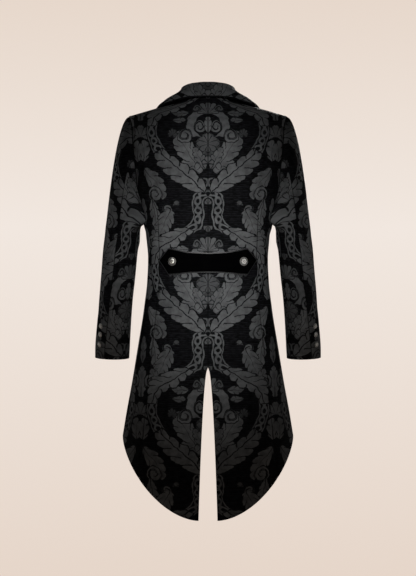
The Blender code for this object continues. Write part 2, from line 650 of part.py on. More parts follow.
def collar_grid(along, rows=LEAF_ROWS):
    """Points of the collar's outer face: from the leaf's edge up to the roll and down the stand."""
    side, along = np.sign(along), np.abs(along)
    facing = np.radians(through(COLLAR, "facing", along))
    seam, normal = neck_seam(along)
    out = np.stack([np.sin(facing), -np.cos(facing), 0 * facing], axis=-1)
    seam = seam + np.array([0, 0, 2 * LAY_GAP])
    tuck = np.clip((along - COLLAR_SIDE) / TUCK_OVER + TUCK_IN, 0, 1)
    seam = seam - out * ((CLOTH + LAY_GAP) * tuck)[:, None]
    onto = np.clip((along - COLLAR_FRONT) / (1 - COLLAR_FRONT), 0, 1)[:, None]
    up = np.array([0, 0, 1.0]) * (1 - onto) + normal * onto
    up /= np.linalg.norm(up, axis=-1, keepdims=True)
    stand = through(COLLAR, "stand", along)[:, None]
    lean = through(COLLAR, "lean", along)[:, None]
    reach = through(COLLAR, "reach", along)[:, None]
    drop = (through(COLLAR, "edge", along) - seam[:, 2])[:, None] * np.array([0, 0, 1.0])
    turned = seam + out * (lean + 2 * ROLL_RADIUS) + up * (stand - ROLL_RADIUS)
    leaf_edge = seam + out * reach + drop
    lines = []
    straight = leaf_edge - turned
    length = np.linalg.norm(straight, axis=-1, keepdims=True)
    outward = LEAF_OUT + (LAID_OUT - LEAF_OUT) * onto
    downward = LEAF_DOWN + (LAID_DOWN - LEAF_DOWN) * onto
    begin = (out * outward - up * downward) * length
    shoulder = np.clip((along - SWELL_FROM) / (SWELL_TO - SWELL_FROM), 0, 1)
    swell = (out + up) / math.sqrt(2) * (SWELL * np.sin(math.pi * shoulder))[:, None]
    for t in np.linspace(1, 0, rows + 1):
        h1, h2 = t * (1 - t) ** 2, t * t * (t - 1)
        lines.append(
            turned * (1 + 2 * t) * (1 - t) ** 2
            + leaf_edge * t * t * (3 - 2 * t)
            + begin * h1
            + straight * LEAF_END * h2
            + swell * math.sin(math.pi * t**SWELL_LOW)
        )
    for quarter in (0.5, 1.0, 1.5, 2.0):
        bend = quarter * math.pi / 2
        shift = ROLL_RADIUS * (1 + math.cos(bend))
        lines.append(seam + out * (lean + shift) + up * (stand - ROLL_RADIUS * (1 - math.sin(bend))))
    rolled = lines[-1]
    lines += [(rolled + seam) / 2, seam]
    grid = np.stack(lines)
    grid[..., 0] *= np.where(side < 0, -1, 1)
    return grid


def surface_normal(grid):
    """Outward direction at each point of a grid, from its neighbours."""
    across = np.gradient(grid, axis=1)
    upward = np.gradient(grid, axis=0)
    normal = np.cross(across, upward)
    return normal / np.linalg.norm(normal, axis=-1, keepdims=True)


def make_collar():
    outer = collar_grid(np.linspace(-1, 1, 2 * COLLAR_STATIONS + 1))
    inner = outer - surface_normal(outer) * CLOTH
    finish("collar", *grid_wall(outer, inner), DAMASK_GREY)


def make_lapels():
    height = np.linspace(LAPEL[0].height, LAPEL[-1].height, LAPEL_ROWS + 1)[:, None]
    u = np.linspace(0, 1, LAPEL_COLUMNS + 1)[None, :]
    start = roll_angle(height)
    tip_height = through(LAPEL, "tip_height", height)
    tip = angle_at(through(LAPEL, "tip_across", height), tip_height, front=True)
    angle = start + (tip - start) * u
    level = height + (tip_height - height) * u ** through(LAPEL, "bend", height)
    rolled = through(LAPEL, "roll", height) * np.sin(math.pi * np.clip(u / LAPEL_ROLL, 0, 1))
    for name, under in (("right", 0.0), ("left", lap_lift(angle, level))):
        lift = under + rolled + CLOTH + np.where(height > LAP_TOP, EASE, LAP_STEP - CLOTH)
        points = torso(angle, level) + torso_normal(angle, level) * lift[..., None]
        outer = points[:, ::-1]
        inner = outer - torso_normal(angle, level)[:, ::-1] * CLOTH
        wall = grid_wall(outer, inner)
        finish("lapel_" + name, *(wall if name == "right" else mirrored(*wall)), DAMASK_GREY)


def button(name, centre, outward, radius, segments=12):
    """A turned metal button that stands on the cloth with its shank."""
    outward = outward / np.linalg.norm(outward)
    first = np.cross(outward, [0.0, 0.0, 1.0])
    first /= np.linalg.norm(first)
    second = np.cross(outward, first)
    around = np.linspace(0, 2 * math.pi, segments, endpoint=False)
    circle = np.cos(around)[:, None] * first - np.sin(around)[:, None] * second
    rings = [centre + outward * radius * ring.height + circle * radius * ring.radius for ring in BUTTON]
    vertices = np.concatenate(rings + [[centre + outward * radius * BUTTON_TOP]])
    faces = []
    for k in range(len(BUTTON) - 1):
        for j in range(segments):
            n = (j + 1) % segments
            low, high = k * segments, (k + 1) * segments
            faces.append([low + n, low + j, high + j, high + n])
    top = (len(BUTTON) - 1) * segments
    faces += [[top + (j + 1) % segments, top + j, len(vertices) - 1] for j in range(segments)]
    faces.append(list(range(segments)))
    finish(name, vertices, faces, SILVER, metallic=1.0, roughness=0.35)


def belt_frame(across, height):
    angle = angle_at(across, height)
    return torso(angle, height), torso_normal(angle, height)


def belt_grid(inset, columns=16, rows=4):
    """(across, height) over the half belt, kept inside its outline by inset."""
    end = BELT[-1].across - inset * TIP_INSET
    corner = BELT[-2].across - inset * CORNER_INSET
    half = np.concatenate([np.linspace(0, corner, columns // 2)[:-1], [corner, end]])
    across = np.concatenate([-half[:0:-1], half])
    top = through(BELT, "top", np.abs(across)) - inset
    bottom = through(BELT, "bottom", np.abs(across)) + inset
    middle = (BELT[-1].top + BELT[-1].bottom) / 2
    top[[0, -1]] = middle + BELT_POINT / 2
    bottom[[0, -1]] = middle - BELT_POINT / 2
    v = np.linspace(0, 1, rows + 1)[:, None]
    return np.broadcast_to(across, (rows + 1, len(across))), bottom + (top - bottom) * v


def make_belt():
    across, height = belt_grid(0.0)
    points, normal = belt_frame(across, height)
    outer = points + normal * (BELT_EASE + CLOTH)
    finish("belt_edge", *grid_wall(outer, points + normal * BELT_EASE), VELVET_BLACK, roughness=0.4)
    across, height = belt_grid(BELT_RIM)
    points, normal = belt_frame(across, height)
    foot = BELT_EASE + LAY_GAP + CLOTH
    finish(
        "belt", *grid_wall(points + normal * (foot + VELVET), points + normal * foot), VELVET_BLACK, roughness=0.95
    )
    for side, name in ((1, "right"), (-1, "left")):
        point, out = belt_frame(np.array(side * BELT_BUTTON_ACROSS), np.array(BELT_BUTTON_HEIGHT))
        button("belt_button_" + name, point + out * (foot + VELVET + LAY_GAP), out, BELT_BUTTON)


def make_front_buttons():
    front_middle = np.array(math.pi)
    for number, height in enumerate(FRONT_BUTTON_HEIGHTS, 1):
        out = torso_normal(front_middle, np.array(height))
        point = torso(front_middle, np.array(height)) + out * (LAP_STEP + LAY_GAP)
        button(f"front_button_{number}", point, out, FRONT_BUTTON)


def make_cuff_buttons():
    for number, height in enumerate(CUFF_BUTTON_HEIGHTS, 1):
        share = CAP_SHARE + (1 - CAP_SHARE) * (ARM_TOP - height) / (ARM_TOP - ARM[0].height)
        turn = np.radians([CUFF_BUTTON_TURN])
        point = sleeve(turn, np.array([share]))
        out = -sleeve_inward(turn, np.array([share]), point)[0]
        for side, name in ((1, "right"), (-1, "left")):
            flip = np.array([side, 1, 1])
            button(f"cuff_button_{name}_{number}", (point[0] + out * LAY_GAP) * flip, out * flip, CUFF_BUTTON, 10)


for thing in list(bpy.data.objects):
    bpy.data.objects.remove(thing)
make_body()
make_sleeves()
make_collar()
make_lapels()
make_belt()
make_front_buttons()
make_cuff_buttons()
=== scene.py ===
# %% [markdown]
# # A damask tailcoat, seen from behind
# The coat hangs as it is worn, on a wearer who isn't there. It is cut from a black and grey
# damask: two backs with a vent between the tails, two side bodies, two fronts, two-piece
# sleeves and a turned-down collar. A black velvet half belt with two silver buttons crosses
# the waist, and each cuff has three small buttons.
# The solids of the part are loaded first and stay as they are. Every piece that is made here
# lies on the same forms, with more points, soft creases, cloth edges and a woven finish.

# %% Load the solids
import math
from collections import namedtuple

import bpy
import numpy as np
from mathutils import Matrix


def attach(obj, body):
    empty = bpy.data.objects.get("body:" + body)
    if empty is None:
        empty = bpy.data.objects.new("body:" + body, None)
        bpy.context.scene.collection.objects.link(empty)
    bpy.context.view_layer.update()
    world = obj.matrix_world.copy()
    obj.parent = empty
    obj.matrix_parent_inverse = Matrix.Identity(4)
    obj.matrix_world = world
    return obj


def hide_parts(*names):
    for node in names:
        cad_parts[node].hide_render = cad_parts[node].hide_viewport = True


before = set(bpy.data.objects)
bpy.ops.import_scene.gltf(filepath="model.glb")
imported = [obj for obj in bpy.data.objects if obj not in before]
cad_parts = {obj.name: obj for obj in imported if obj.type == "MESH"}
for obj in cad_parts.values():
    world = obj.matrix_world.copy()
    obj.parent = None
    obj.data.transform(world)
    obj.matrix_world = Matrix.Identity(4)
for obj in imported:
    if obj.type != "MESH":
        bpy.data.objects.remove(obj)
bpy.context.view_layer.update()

# %% [markdown]
# ## The torso form
# Under every panel is one imagined body. It could be sculpted, but a coat is drafted from
# measurements, so this form is a stack of horizontal sections: half a width, a depth behind
# and a depth in front, and a squareness. An angle that runs round from the middle of the
# back, and a height, give any point on it.

# %% Sections of the torso form
CLOTH = 0.0020
LAY_GAP = 0.0005
EASE = 0.0012
VELVET = 0.0028

Section = namedtuple("Section", "height half_width back front squareness")
TORSO = (
    Section(-1.1300, 0.2650, 0.152, 0.150, 2.20),
    Section(-0.8697, 0.2213, 0.137, 0.140, 2.20),
    Section(-0.7865, 0.2077, 0.132, 0.134, 2.20),
    Section(-0.7033, 0.1927, 0.126, 0.128, 2.20),
    Section(-0.6201, 0.1790, 0.119, 0.122, 2.20),
    Section(-0.5369, 0.1660, 0.108, 0.117, 2.20),
    Section(-0.4745, 0.1583, 0.098, 0.113, 2.25),
    Section(-0.4121, 0.1557, 0.093, 0.112, 2.30),
    Section(-0.3705, 0.1590, 0.097, 0.115, 2.30),
    Section(-0.3289, 0.1668, 0.104, 0.119, 2.30),
    Section(-0.2640, 0.1815, 0.115, 0.123, 2.35),
    Section(-0.2050, 0.1950, 0.122, 0.121, 2.30),
    Section(-0.1540, 0.2045, 0.123, 0.114, 2.20),
    Section(-0.1000, 0.2110, 0.118, 0.099, 2.05),
    Section(-0.0600, 0.2110, 0.106, 0.082, 1.85),
    Section(-0.0435, 0.2065, 0.095, 0.064, 1.75),
    Section(-0.0403, 0.1960, 0.093, 0.063, 1.75),
    Section(-0.0247, 0.1430, 0.083, 0.057, 1.75),
    Section(-0.0047, 0.0750, 0.068, 0.052, 1.90),
    Section(0.0030, 0.0690, 0.0645, 0.050, 2.00),
    Section(0.0400, 0.0640, 0.0610, 0.048, 2.00),
)
NAPE = 0.0110


def hermite(t, start, leave, end, arrive):
    """(1 + 2t) (1 - t)^2 start + t (1 - t)^2 leave + t^2 (3 - 2t) end + t^2 (t - 1) arrive."""
    return (
        (1 + 2 * t) * (1 - t) ** 2 * start
        + t * (1 - t) ** 2 * leave
        + t * t * (3 - 2 * t) * end
        + t * t * (t - 1) * arrive
    )


def through(rows, column, at):
    """A smooth curve through one column of a table sorted by its first column.

    Each stretch is a cubic whose end slopes are the harmonic means of the rises beside them,
    so the curve never overshoots.
    """
    x = np.array([row[0] for row in rows], float)
    y = np.array([getattr(row, column) for row in rows], float)
    step = np.diff(x)
    rise = np.diff(y) / step
    slope = np.concatenate([rise[:1], np.zeros(len(x) - 2), rise[-1:]])
    same_way = rise[:-1] * rise[1:] > 0
    before = 2 * step[1:] + step[:-1]
    after = step[1:] + 2 * step[:-1]
    with np.errstate(divide="ignore", invalid="ignore"):
        mean = (before + after) / (before / rise[:-1] + after / rise[1:])
    slope[1:-1] = np.where(same_way, mean, 0.0)
    at = np.clip(np.asarray(at, float), x[0], x[-1])
    k = np.clip(np.searchsorted(x, at) - 1, 0, len(x) - 2)
    t = (at - x[k]) / step[k]
    return hermite(t, y[k], step[k] * slope[k], y[k + 1], step[k] * slope[k + 1])


def torso(angle, height):
    """Point at an angle from the middle of the back: a superellipse |x/w|^n + |y/d|^n = 1."""
    width = through(TORSO, "half_width", height)
    square = through(TORSO, "squareness", height)
    back = through(TORSO, "back", height)
    front = through(TORSO, "front", height)
    across, along = np.sin(angle), -np.cos(angle)
    deep = np.where(along < 0, back, front)
    radius = (np.abs(across / width) ** square + np.abs(along / deep) ** square) ** (-1 / square)
    return np.stack([radius * across, radius * along, height + 0 * angle], axis=-1)


def torso_normal(angle, height):
    """Outward direction: the cross product of small steps round the form and up it."""
    turn, rise = 0.004, 0.0008
    round_it = torso(angle + turn, height) - torso(angle - turn, height)
    up = torso(angle, height + rise) - torso(angle, height - rise)
    normal = np.cross(round_it, up)
    return normal / np.linalg.norm(normal, axis=-1, keepdims=True)


def angle_at(across, height, front=False):
    """The angle where the form is seen that far from its middle, from behind or in front."""
    width = through(TORSO, "half_width", height)
    square = through(TORSO, "squareness", height)
    deep = through(TORSO, "front" if front else "back", height)
    share = np.clip(np.abs(across) / width, 0, 1)
    along = deep * (1 - share**square) ** (1 / square)
    angle = np.arctan2(across, along)
    return math.pi - angle if front else angle


waist = torso(np.linspace(0, 2 * math.pi, 400), -0.4121 + np.zeros(400))
print("waist round the form: %.0f mm" % (1000 * np.linalg.norm(np.diff(waist, axis=0), axis=1).sum()))

# %% [markdown]
# ## Seam lines
# A tailor draws the armhole, the hem and the seams on the body before cutting. Here each
# line is a small function or a short table on the same form, so that two neighbours that
# share a seam share its points too, and lie only a thread's width apart.

# %% Armhole, hem and long seams
ARMHOLE_TOP, ARMHOLE_BOTTOM = -0.0435, -0.2640
ARMHOLE_BACK, ARMHOLE_FRONT = 0.052, 0.058
ARMHOLE_SQUARENESS = 2.3
HEM_BOTTOM, HEM_CORNER = -1.0764, -0.8697
HEM_ACROSS, HEM_DOWN = 1.77, 1.47
VENT_TOP, VENT_HALF_GAP, VENT_CURVE = -0.6916, 0.024, 0.50

CutPoint = namedtuple("CutPoint", "angle height")
CUTAWAY = (
    CutPoint(90, -0.8697),
    CutPoint(105, -0.8330),
    CutPoint(120, -0.7800),
    CutPoint(135, -0.7120),
    CutPoint(150, -0.6360),
    CutPoint(162, -0.5740),
    CutPoint(172, -0.5320),
    CutPoint(180, -0.5130),
    CutPoint(192, -0.5020),
)
LinePoint = namedtuple("LinePoint", "height across")
PRINCESS = (
    LinePoint(-0.9900, 0.1790),
    LinePoint(-0.8840, 0.1687),
    LinePoint(-0.7800, 0.1580),
    LinePoint(-0.7100, 0.1520),
    LinePoint(-0.6240, 0.1415),
    LinePoint(-0.5200, 0.1300),
    LinePoint(-0.4210, 0.1245),
    LinePoint(-0.3800, 0.1262),
    LinePoint(-0.3300, 0.1280),
    LinePoint(-0.2960, 0.1300),
    LinePoint(-0.2680, 0.1405),
    LinePoint(-0.2470, 0.1560),
)
BREAK_POINT = -0.3050
LAP = 0.018
ROLL_LINE = (
    LinePoint(-0.6500, -LAP),
    LinePoint(BREAK_POINT, -LAP),
    LinePoint(-0.0550, 0.0700),
    LinePoint(-0.0300, 0.0770),
    LinePoint(-0.0100, 0.0830),
)
BACK_TURNS = (-127, -108, -92, -77, -62, -47, -31, -15, 0)
SIDE_TURNS = (233, 216, 200, 183, 168, 153, 138)
FRONT_TURNS = (138, 124, 109, 93, 77, 62, 47, 31, 15, 0)
WAIST_ROW, TIP_LEVEL = -0.3200, -0.0620
SHOULDER_ROWS = (-0.0390, -0.0310, -0.0240, -0.0170, -0.0105, -0.0047)
LOWER_ROWS, UNDERARM_ROWS, ROW_SPREAD = 16, 4, 1.4


def armhole(turn):
    """(angle, height) round the armhole: a superellipse seen from the side, laid on the form."""
    middle = (ARMHOLE_TOP + ARMHOLE_BOTTOM) / 2
    tall = (ARMHOLE_TOP - ARMHOLE_BOTTOM) / 2
    power = 2 / ARMHOLE_SQUARENESS
    up, forward = np.cos(turn), np.sin(turn)
    height = middle + tall * np.sign(up) * np.abs(up) ** power
    wide = np.where(forward > 0, ARMHOLE_FRONT, ARMHOLE_BACK)
    y = wide * np.sign(forward) * np.abs(forward) ** power
    width = through(TORSO, "half_width", height)
    square = through(TORSO, "squareness", height)
    deep = np.where(y < 0, through(TORSO, "back", height), through(TORSO, "front", height))
    x = width * (1 - np.abs(y / deep) ** square) ** (1 / square)
    return np.arctan2(x, -y), height


def hem_line():
    """(angle, height) along the hem: a superellipse round the tail, then the cutaway's curve."""
    reach = through(TORSO, "half_width", HEM_CORNER) - VENT_HALF_GAP
    t = np.linspace(math.pi / 2, 0, 240)
    x = VENT_HALF_GAP + reach * np.cos(t) ** (2 / HEM_ACROSS)
    z = HEM_CORNER + (HEM_BOTTOM - HEM_CORNER) * np.sin(t) ** (2 / HEM_DOWN)
    tail = np.stack([angle_at(x, z), z], axis=-1)
    degrees = np.linspace(CUTAWAY[0].angle, CUTAWAY[-1].angle, 240)[1:]
    cut = np.stack([np.radians(degrees), through(CUTAWAY, "height", degrees)], axis=-1)
    return np.concatenate([tail, cut])


HEM = hem_line()
PRINCESS_TOP = tuple(float(part) for part in armhole(math.radians(BACK_TURNS[0])))
SIDE_SEAM, SIDE_SEAM_TOP = (float(part) for part in armhole(math.radians(FRONT_TURNS[0])))


def hem_height(angle):
    """The hem line's height at an angle."""
    return np.interp(angle, HEM[:, 0], HEM[:, 1])


def centre_back(height):
    """How far the back's edge is from the middle: nothing at the seam, then the open vent."""
    drop = np.clip((VENT_TOP - height) / (VENT_TOP - HEM_BOTTOM), 0, 1)
    return VENT_HALF_GAP * drop**VENT_CURVE


def princess_angle(height):
    """The curved seam between back and side body."""
    top = LinePoint(PRINCESS_TOP[1], float(torso(*PRINCESS_TOP)[0]))
    return angle_at(through(PRINCESS + (top,), "across", height), height)


def side_seam_angle(height):
    """The side seam keeps one angle from the armhole to the hem."""
    return SIDE_SEAM + 0 * height


def roll_angle(height):
    """The front's edge: straight below the break, and the lapel's roll line above it."""
    return angle_at(through(ROLL_LINE, "across", height), height, front=True)


def neck_height(angle):
    """nape + (shoulder point - nape) sin^2: level at the nape and at the shoulder."""
    return NAPE + (SHOULDER_ROWS[-1] - NAPE) * np.sin(angle) ** 2


def meets(line_angle, low, high):
    """The height between low and high at which a seam line reaches the hem."""
    height = np.linspace(low, high, 400)
    return float(np.interp(0, height - hem_height(line_angle(height)), height))


PRINCESS_FOOT = meets(princess_angle, -1.05, -0.80)
EDGE_FOOT = meets(roll_angle, -0.60, -0.45)
print("side seam at %.0f degrees, top at %.0f mm" % (math.degrees(SIDE_SEAM), 1000 * SIDE_SEAM_TOP))

# %% [markdown]
# ## Plans of the panels
# Each panel is a patch with four edges. A Coons patch fills the space between them: the
# mean of the two ways across, less the corners that both counted. FINER says how many steps
# this scene takes for each one that the solids take.

# %% Plans of back, side and front
FINER = 5


def finer(values):
    """The same row of numbers with FINER steps for each step."""
    values = np.asarray(values, float)
    steps = len(values) - 1
    return np.interp(np.arange(steps * FINER + 1) / FINER, np.arange(steps + 1), values)


def coons(left, right, bottom, top):
    """Both ways across between four edges of (angle, height) points, less the corners."""
    v = np.linspace(0, 1, len(left))[:, None, None]
    u = np.linspace(0, 1, len(bottom))[None, :, None]
    across = (1 - u) * left[:, None] + u * right[:, None]
    upward = (1 - v) * bottom[None] + v * top[None]
    low_corners = (1 - v) * ((1 - u) * left[0] + u * right[0])
    high_corners = v * ((1 - u) * left[-1] + u * right[-1])
    return across + upward - low_corners - high_corners


def edge(angle, height):
    """A panel's edge as (angle, height) pairs."""
    return np.stack([angle + 0 * height, height], axis=-1)


def between(first, last, columns):
    """A straight edge from one corner to the other."""
    t = np.linspace(0, 1, columns + 1)[:, None]
    return (1 - t) * first + t * last


def hem_between(first, last, columns):
    """The hem line from one corner to the other."""
    angle = np.linspace(first[0], last[0], columns + 1)
    height = hem_height(angle)
    height[0], height[-1] = first[1], last[1]
    return np.stack([angle, height], axis=-1)


def seam_rows(foot, underarm_top):
    """Row heights from the hem to the waist, closer at the waist, and on to the armhole."""
    lower = WAIST_ROW + (foot - WAIST_ROW) * np.linspace(1, 0, LOWER_ROWS * FINER + 1) ** ROW_SPREAD
    return np.concatenate([lower, np.linspace(WAIST_ROW, underarm_top, UNDERARM_ROWS * FINER + 1)[1:]])


def far_rows(foot, top, turns):
    """Row heights on the edge opposite the armhole, and then opposite the shoulder seam."""
    beside = np.linspace(foot, TIP_LEVEL, (len(turns) - 1) * FINER + 1)[1:]
    return np.concatenate([beside, np.linspace(TIP_LEVEL, top, len(SHOULDER_ROWS) * FINER + 1)[1:]])


def up_to_neck(seam_angle, foot, turns):
    """The armhole side of a back or front: long seam, armhole and shoulder seam."""
    angles, heights = armhole(np.radians(finer(turns)))
    seam = seam_rows(foot, heights[0])
    shoulder = finer((ARMHOLE_TOP,) + SHOULDER_ROWS)[1:]
    angle = np.concatenate([seam_angle(seam), angles[1:], math.pi / 2 + 0 * shoulder])
    return angle, np.concatenate([seam, heights[1:], shoulder])


def back_plan(columns=9 * FINER):
    """Back: centre-back seam and vent, side-back seam with the armhole, hem and neck."""
    right = edge(*up_to_neck(princess_angle, PRINCESS_FOOT, BACK_TURNS))
    rise = far_rows(PRINCESS_TOP[1], NAPE, BACK_TURNS)
    middle = np.concatenate([seam_rows(HEM_BOTTOM, PRINCESS_TOP[1]), rise])
    left = edge(angle_at(centre_back(middle), middle), middle)
    bottom = hem_between(left[0], right[0], columns)
    top = between(left[-1], right[-1], columns)
    top[:, 1] = neck_height(top[:, 0])
    return coons(left, right, bottom, top)


def side_plan():
    """Side body: side-back seam, side seam, hem, and the armhole's lowest part on top."""
    rows = seam_rows(PRINCESS_FOOT, PRINCESS_TOP[1])
    left = edge(princess_angle(rows), rows)
    rows = seam_rows(float(hem_height(SIDE_SEAM)), SIDE_SEAM_TOP)
    right = edge(side_seam_angle(rows), rows)
    bottom = hem_between(left[0], right[0], (len(SIDE_TURNS) - 1) * FINER)
    top = np.stack(armhole(np.radians(finer(SIDE_TURNS))), axis=-1)
    top[0], top[-1] = left[-1], right[-1]
    return coons(left, right, bottom, top)


def front_plan(columns=10 * FINER):
    """Front: side seam with the armhole, the front edge and roll line, cutaway and shoulder."""
    foot = float(hem_height(SIDE_SEAM))
    left = edge(*up_to_neck(side_seam_angle, foot, FRONT_TURNS))
    rise = far_rows(SIDE_SEAM_TOP, ROLL_LINE[-1].height, FRONT_TURNS)
    middle = np.concatenate([seam_rows(EDGE_FOOT, SIDE_SEAM_TOP), rise])
    right = edge(roll_angle(middle), middle)
    bottom = hem_between(left[0], right[0], columns)
    top = between(left[-1], right[-1], columns)
    return coons(left, right, bottom, top)


plans = {"back": back_plan(), "side": side_plan(), "front": front_plan()}
print("points:", {name: plan.shape[:2] for name, plan in plans.items()})

# %% [markdown]
# ## The sleeve form
# A sleeve can be lofted through rings. Its head is different, because it has to start on the
# slanted armhole and end square to the arm. So above the armpit each line down the arm is one
# Hermite curve, and below it the rings follow the arm's centre line.

# %% Sleeve points
ArmSection = namedtuple("ArmSection", "height centre_x centre_y outer inner depth")
ARM = (
    ArmSection(-0.6710, 0.2504, 0.037, 0.0452, 0.0442, 0.0412),
    ArmSection(-0.6410, 0.2490, 0.031, 0.0458, 0.0446, 0.0430),
    ArmSection(-0.5785, 0.2443, 0.017, 0.0446, 0.0436, 0.0470),
    ArmSection(-0.5160, 0.2388, 0.006, 0.0445, 0.0430, 0.0520),
    ArmSection(-0.4540, 0.2325, -0.001, 0.0448, 0.0438, 0.0560),
    ArmSection(-0.3910, 0.2270, -0.004, 0.0452, 0.0446, 0.0590),
    ArmSection(-0.3450, 0.2215, -0.004, 0.0456, 0.0455, 0.0620),
    ArmSection(-0.3000, 0.2190, -0.002, 0.0430, 0.0432, 0.0640),
)
ARM_TOP = ARM[-1].height
CAP_SHARE, CAP_START, CAP_END, CAP_LENGTH, CAP_LEVELS = 0.42, 0.200, 0.250, 0.262, 0.12
OVER_START, OVER_END = 0.022, 0.767
CAP_OVER, CAP_UNDER, CAP_DOWN = (0.66, 0, -0.75), (0.45, 0, -0.89), (0.105, 0, -0.994)
SEAM_SHARE, ARMHOLE_ACROSS, ARM_RADIUS = 0.05, 0.2, 0.05
HINDARM_TURN, HINDARM_SHIFT = -92, 28
FOREARM_TURN, FOREARM_SHIFT = 109, 13
SLEEVE_ROWS = 21


def arm_ring(turn, height):
    """Points of the sleeve's section at a height of the arm's line, square to that line."""
    x, y = through(ARM, "centre_x", height), through(ARM, "centre_y", height)
    outer, inner = through(ARM, "outer", height), through(ARM, "inner", height)
    out = np.where(np.cos(turn) > 0, outer, inner) * np.cos(turn)
    forward = through(ARM, "depth", height) * np.sin(turn)
    step = 0.02
    lean_x = (through(ARM, "centre_x", height + step) - through(ARM, "centre_x", height - step)) / (2 * step)
    lean_y = (through(ARM, "centre_y", height + step) - through(ARM, "centre_y", height - step)) / (2 * step)
    tilt = np.clip((ARM_TOP - height) / CAP_LEVELS, 0, 1)
    return np.stack([x + out, y + forward, height - tilt * (lean_x * out + lean_y * forward)], axis=-1)


def sleeve(turn, share):
    """Sleeve points; share is 0 at the armhole and 1 at the cuff.

    Above ARM_TOP each line is a Hermite curve from the armhole's point down to the arm's ring.
    """
    turn, share = np.broadcast_arrays(np.asarray(turn, float), np.asarray(share, float))
    angle, height = armhole(turn)
    start = torso(angle, height)
    top = arm_ring(turn, ARM_TOP + 0 * turn)
    reach = np.linalg.norm(top - start, axis=-1, keepdims=True) / CAP_LENGTH
    over = (1 + np.cos(turn))[..., None] / 2
    leave = over * np.array(CAP_OVER) + (1 - over) * np.array(CAP_UNDER)
    set_out = CAP_START + (OVER_START - CAP_START) * over
    arrive = CAP_END + (OVER_END - CAP_END) * over
    u = np.clip(share / CAP_SHARE, 0, 1)[..., None]
    cap = hermite(u, start, leave * set_out * reach, top, np.array(CAP_DOWN) * arrive * reach)
    down = np.clip((share - CAP_SHARE) / (1 - CAP_SHARE), 0, 1)
    arm = arm_ring(turn, ARM_TOP + (ARM[0].height - ARM_TOP) * down)
    return np.where(share[..., None] < CAP_SHARE, cap, arm)


def sleeve_inward(turn, share, points):
    """Into the sleeve: towards the armhole's middle at its seam, then square to the cloth."""
    turn, share = np.broadcast_arrays(np.asarray(turn, float), np.asarray(share, float))
    step = 0.01
    near = np.clip(share, step, 1 - step)
    round_it = sleeve(turn + step, share) - sleeve(turn - step, share)
    down = sleeve(turn, near + step) - sleeve(turn, near - step)
    inward = np.cross(round_it, down)
    inward /= np.linalg.norm(inward, axis=-1, keepdims=True)
    middle = np.array([ARMHOLE_ACROSS, 0.0, (ARMHOLE_TOP + ARMHOLE_BOTTOM) / 2])
    to_middle = (middle - points) * np.array([0, 1, 1])
    to_middle /= np.linalg.norm(to_middle, axis=-1, keepdims=True)
    at_seam = np.clip(1 - share / SEAM_SHARE, 0, 1)[..., None]
    mixed = at_seam * to_middle + (1 - at_seam) * inward
    return mixed / np.linalg.norm(mixed, axis=-1, keepdims=True)


def sleeve_turns(turns, share, first_shift, last_shift):
    """The turn of each column at each row: both seams wander forward on the way to the cuff."""
    turns = np.array(turns, float)
    part = (turns - turns[0]) / (turns[-1] - turns[0])
    shift = first_shift + (last_shift - first_shift) * part
    return np.radians(turns[None, :] + share * shift[None, :])


over_turns = [turn for turn in BACK_TURNS if turn >= HINDARM_TURN]
over_turns += [turn for turn in FRONT_TURNS[::-1] if 0 < turn <= FOREARM_TURN]
under_turns = [turn for turn in FRONT_TURNS[::-1] if turn >= FOREARM_TURN]
under_turns += [turn for turn in SIDE_TURNS[::-1] if turn > FRONT_TURNS[0]]
under_turns += [turn + 360 for turn in BACK_TURNS if BACK_TURNS[0] < turn <= HINDARM_TURN]
print("sleeve columns, top and under:", len(over_turns) - 1, len(under_turns) - 1)

# %% [markdown]
# ## Creases
# The suit cloth is firm and pressed, so there are no folds, only soft troughs and ridges
# where a worn coat bends: at the armholes, the inner elbow, the waist and down the skirts.
# They could come from a cloth simulation. Each is drawn instead, because it then sits
# where the body pulls the cloth: a bell across its width, fading out along its length, and a
# little different on the two sides.

# %% The crease tables
Crease = namedtuple("Crease", "side x z tilt length width depth")
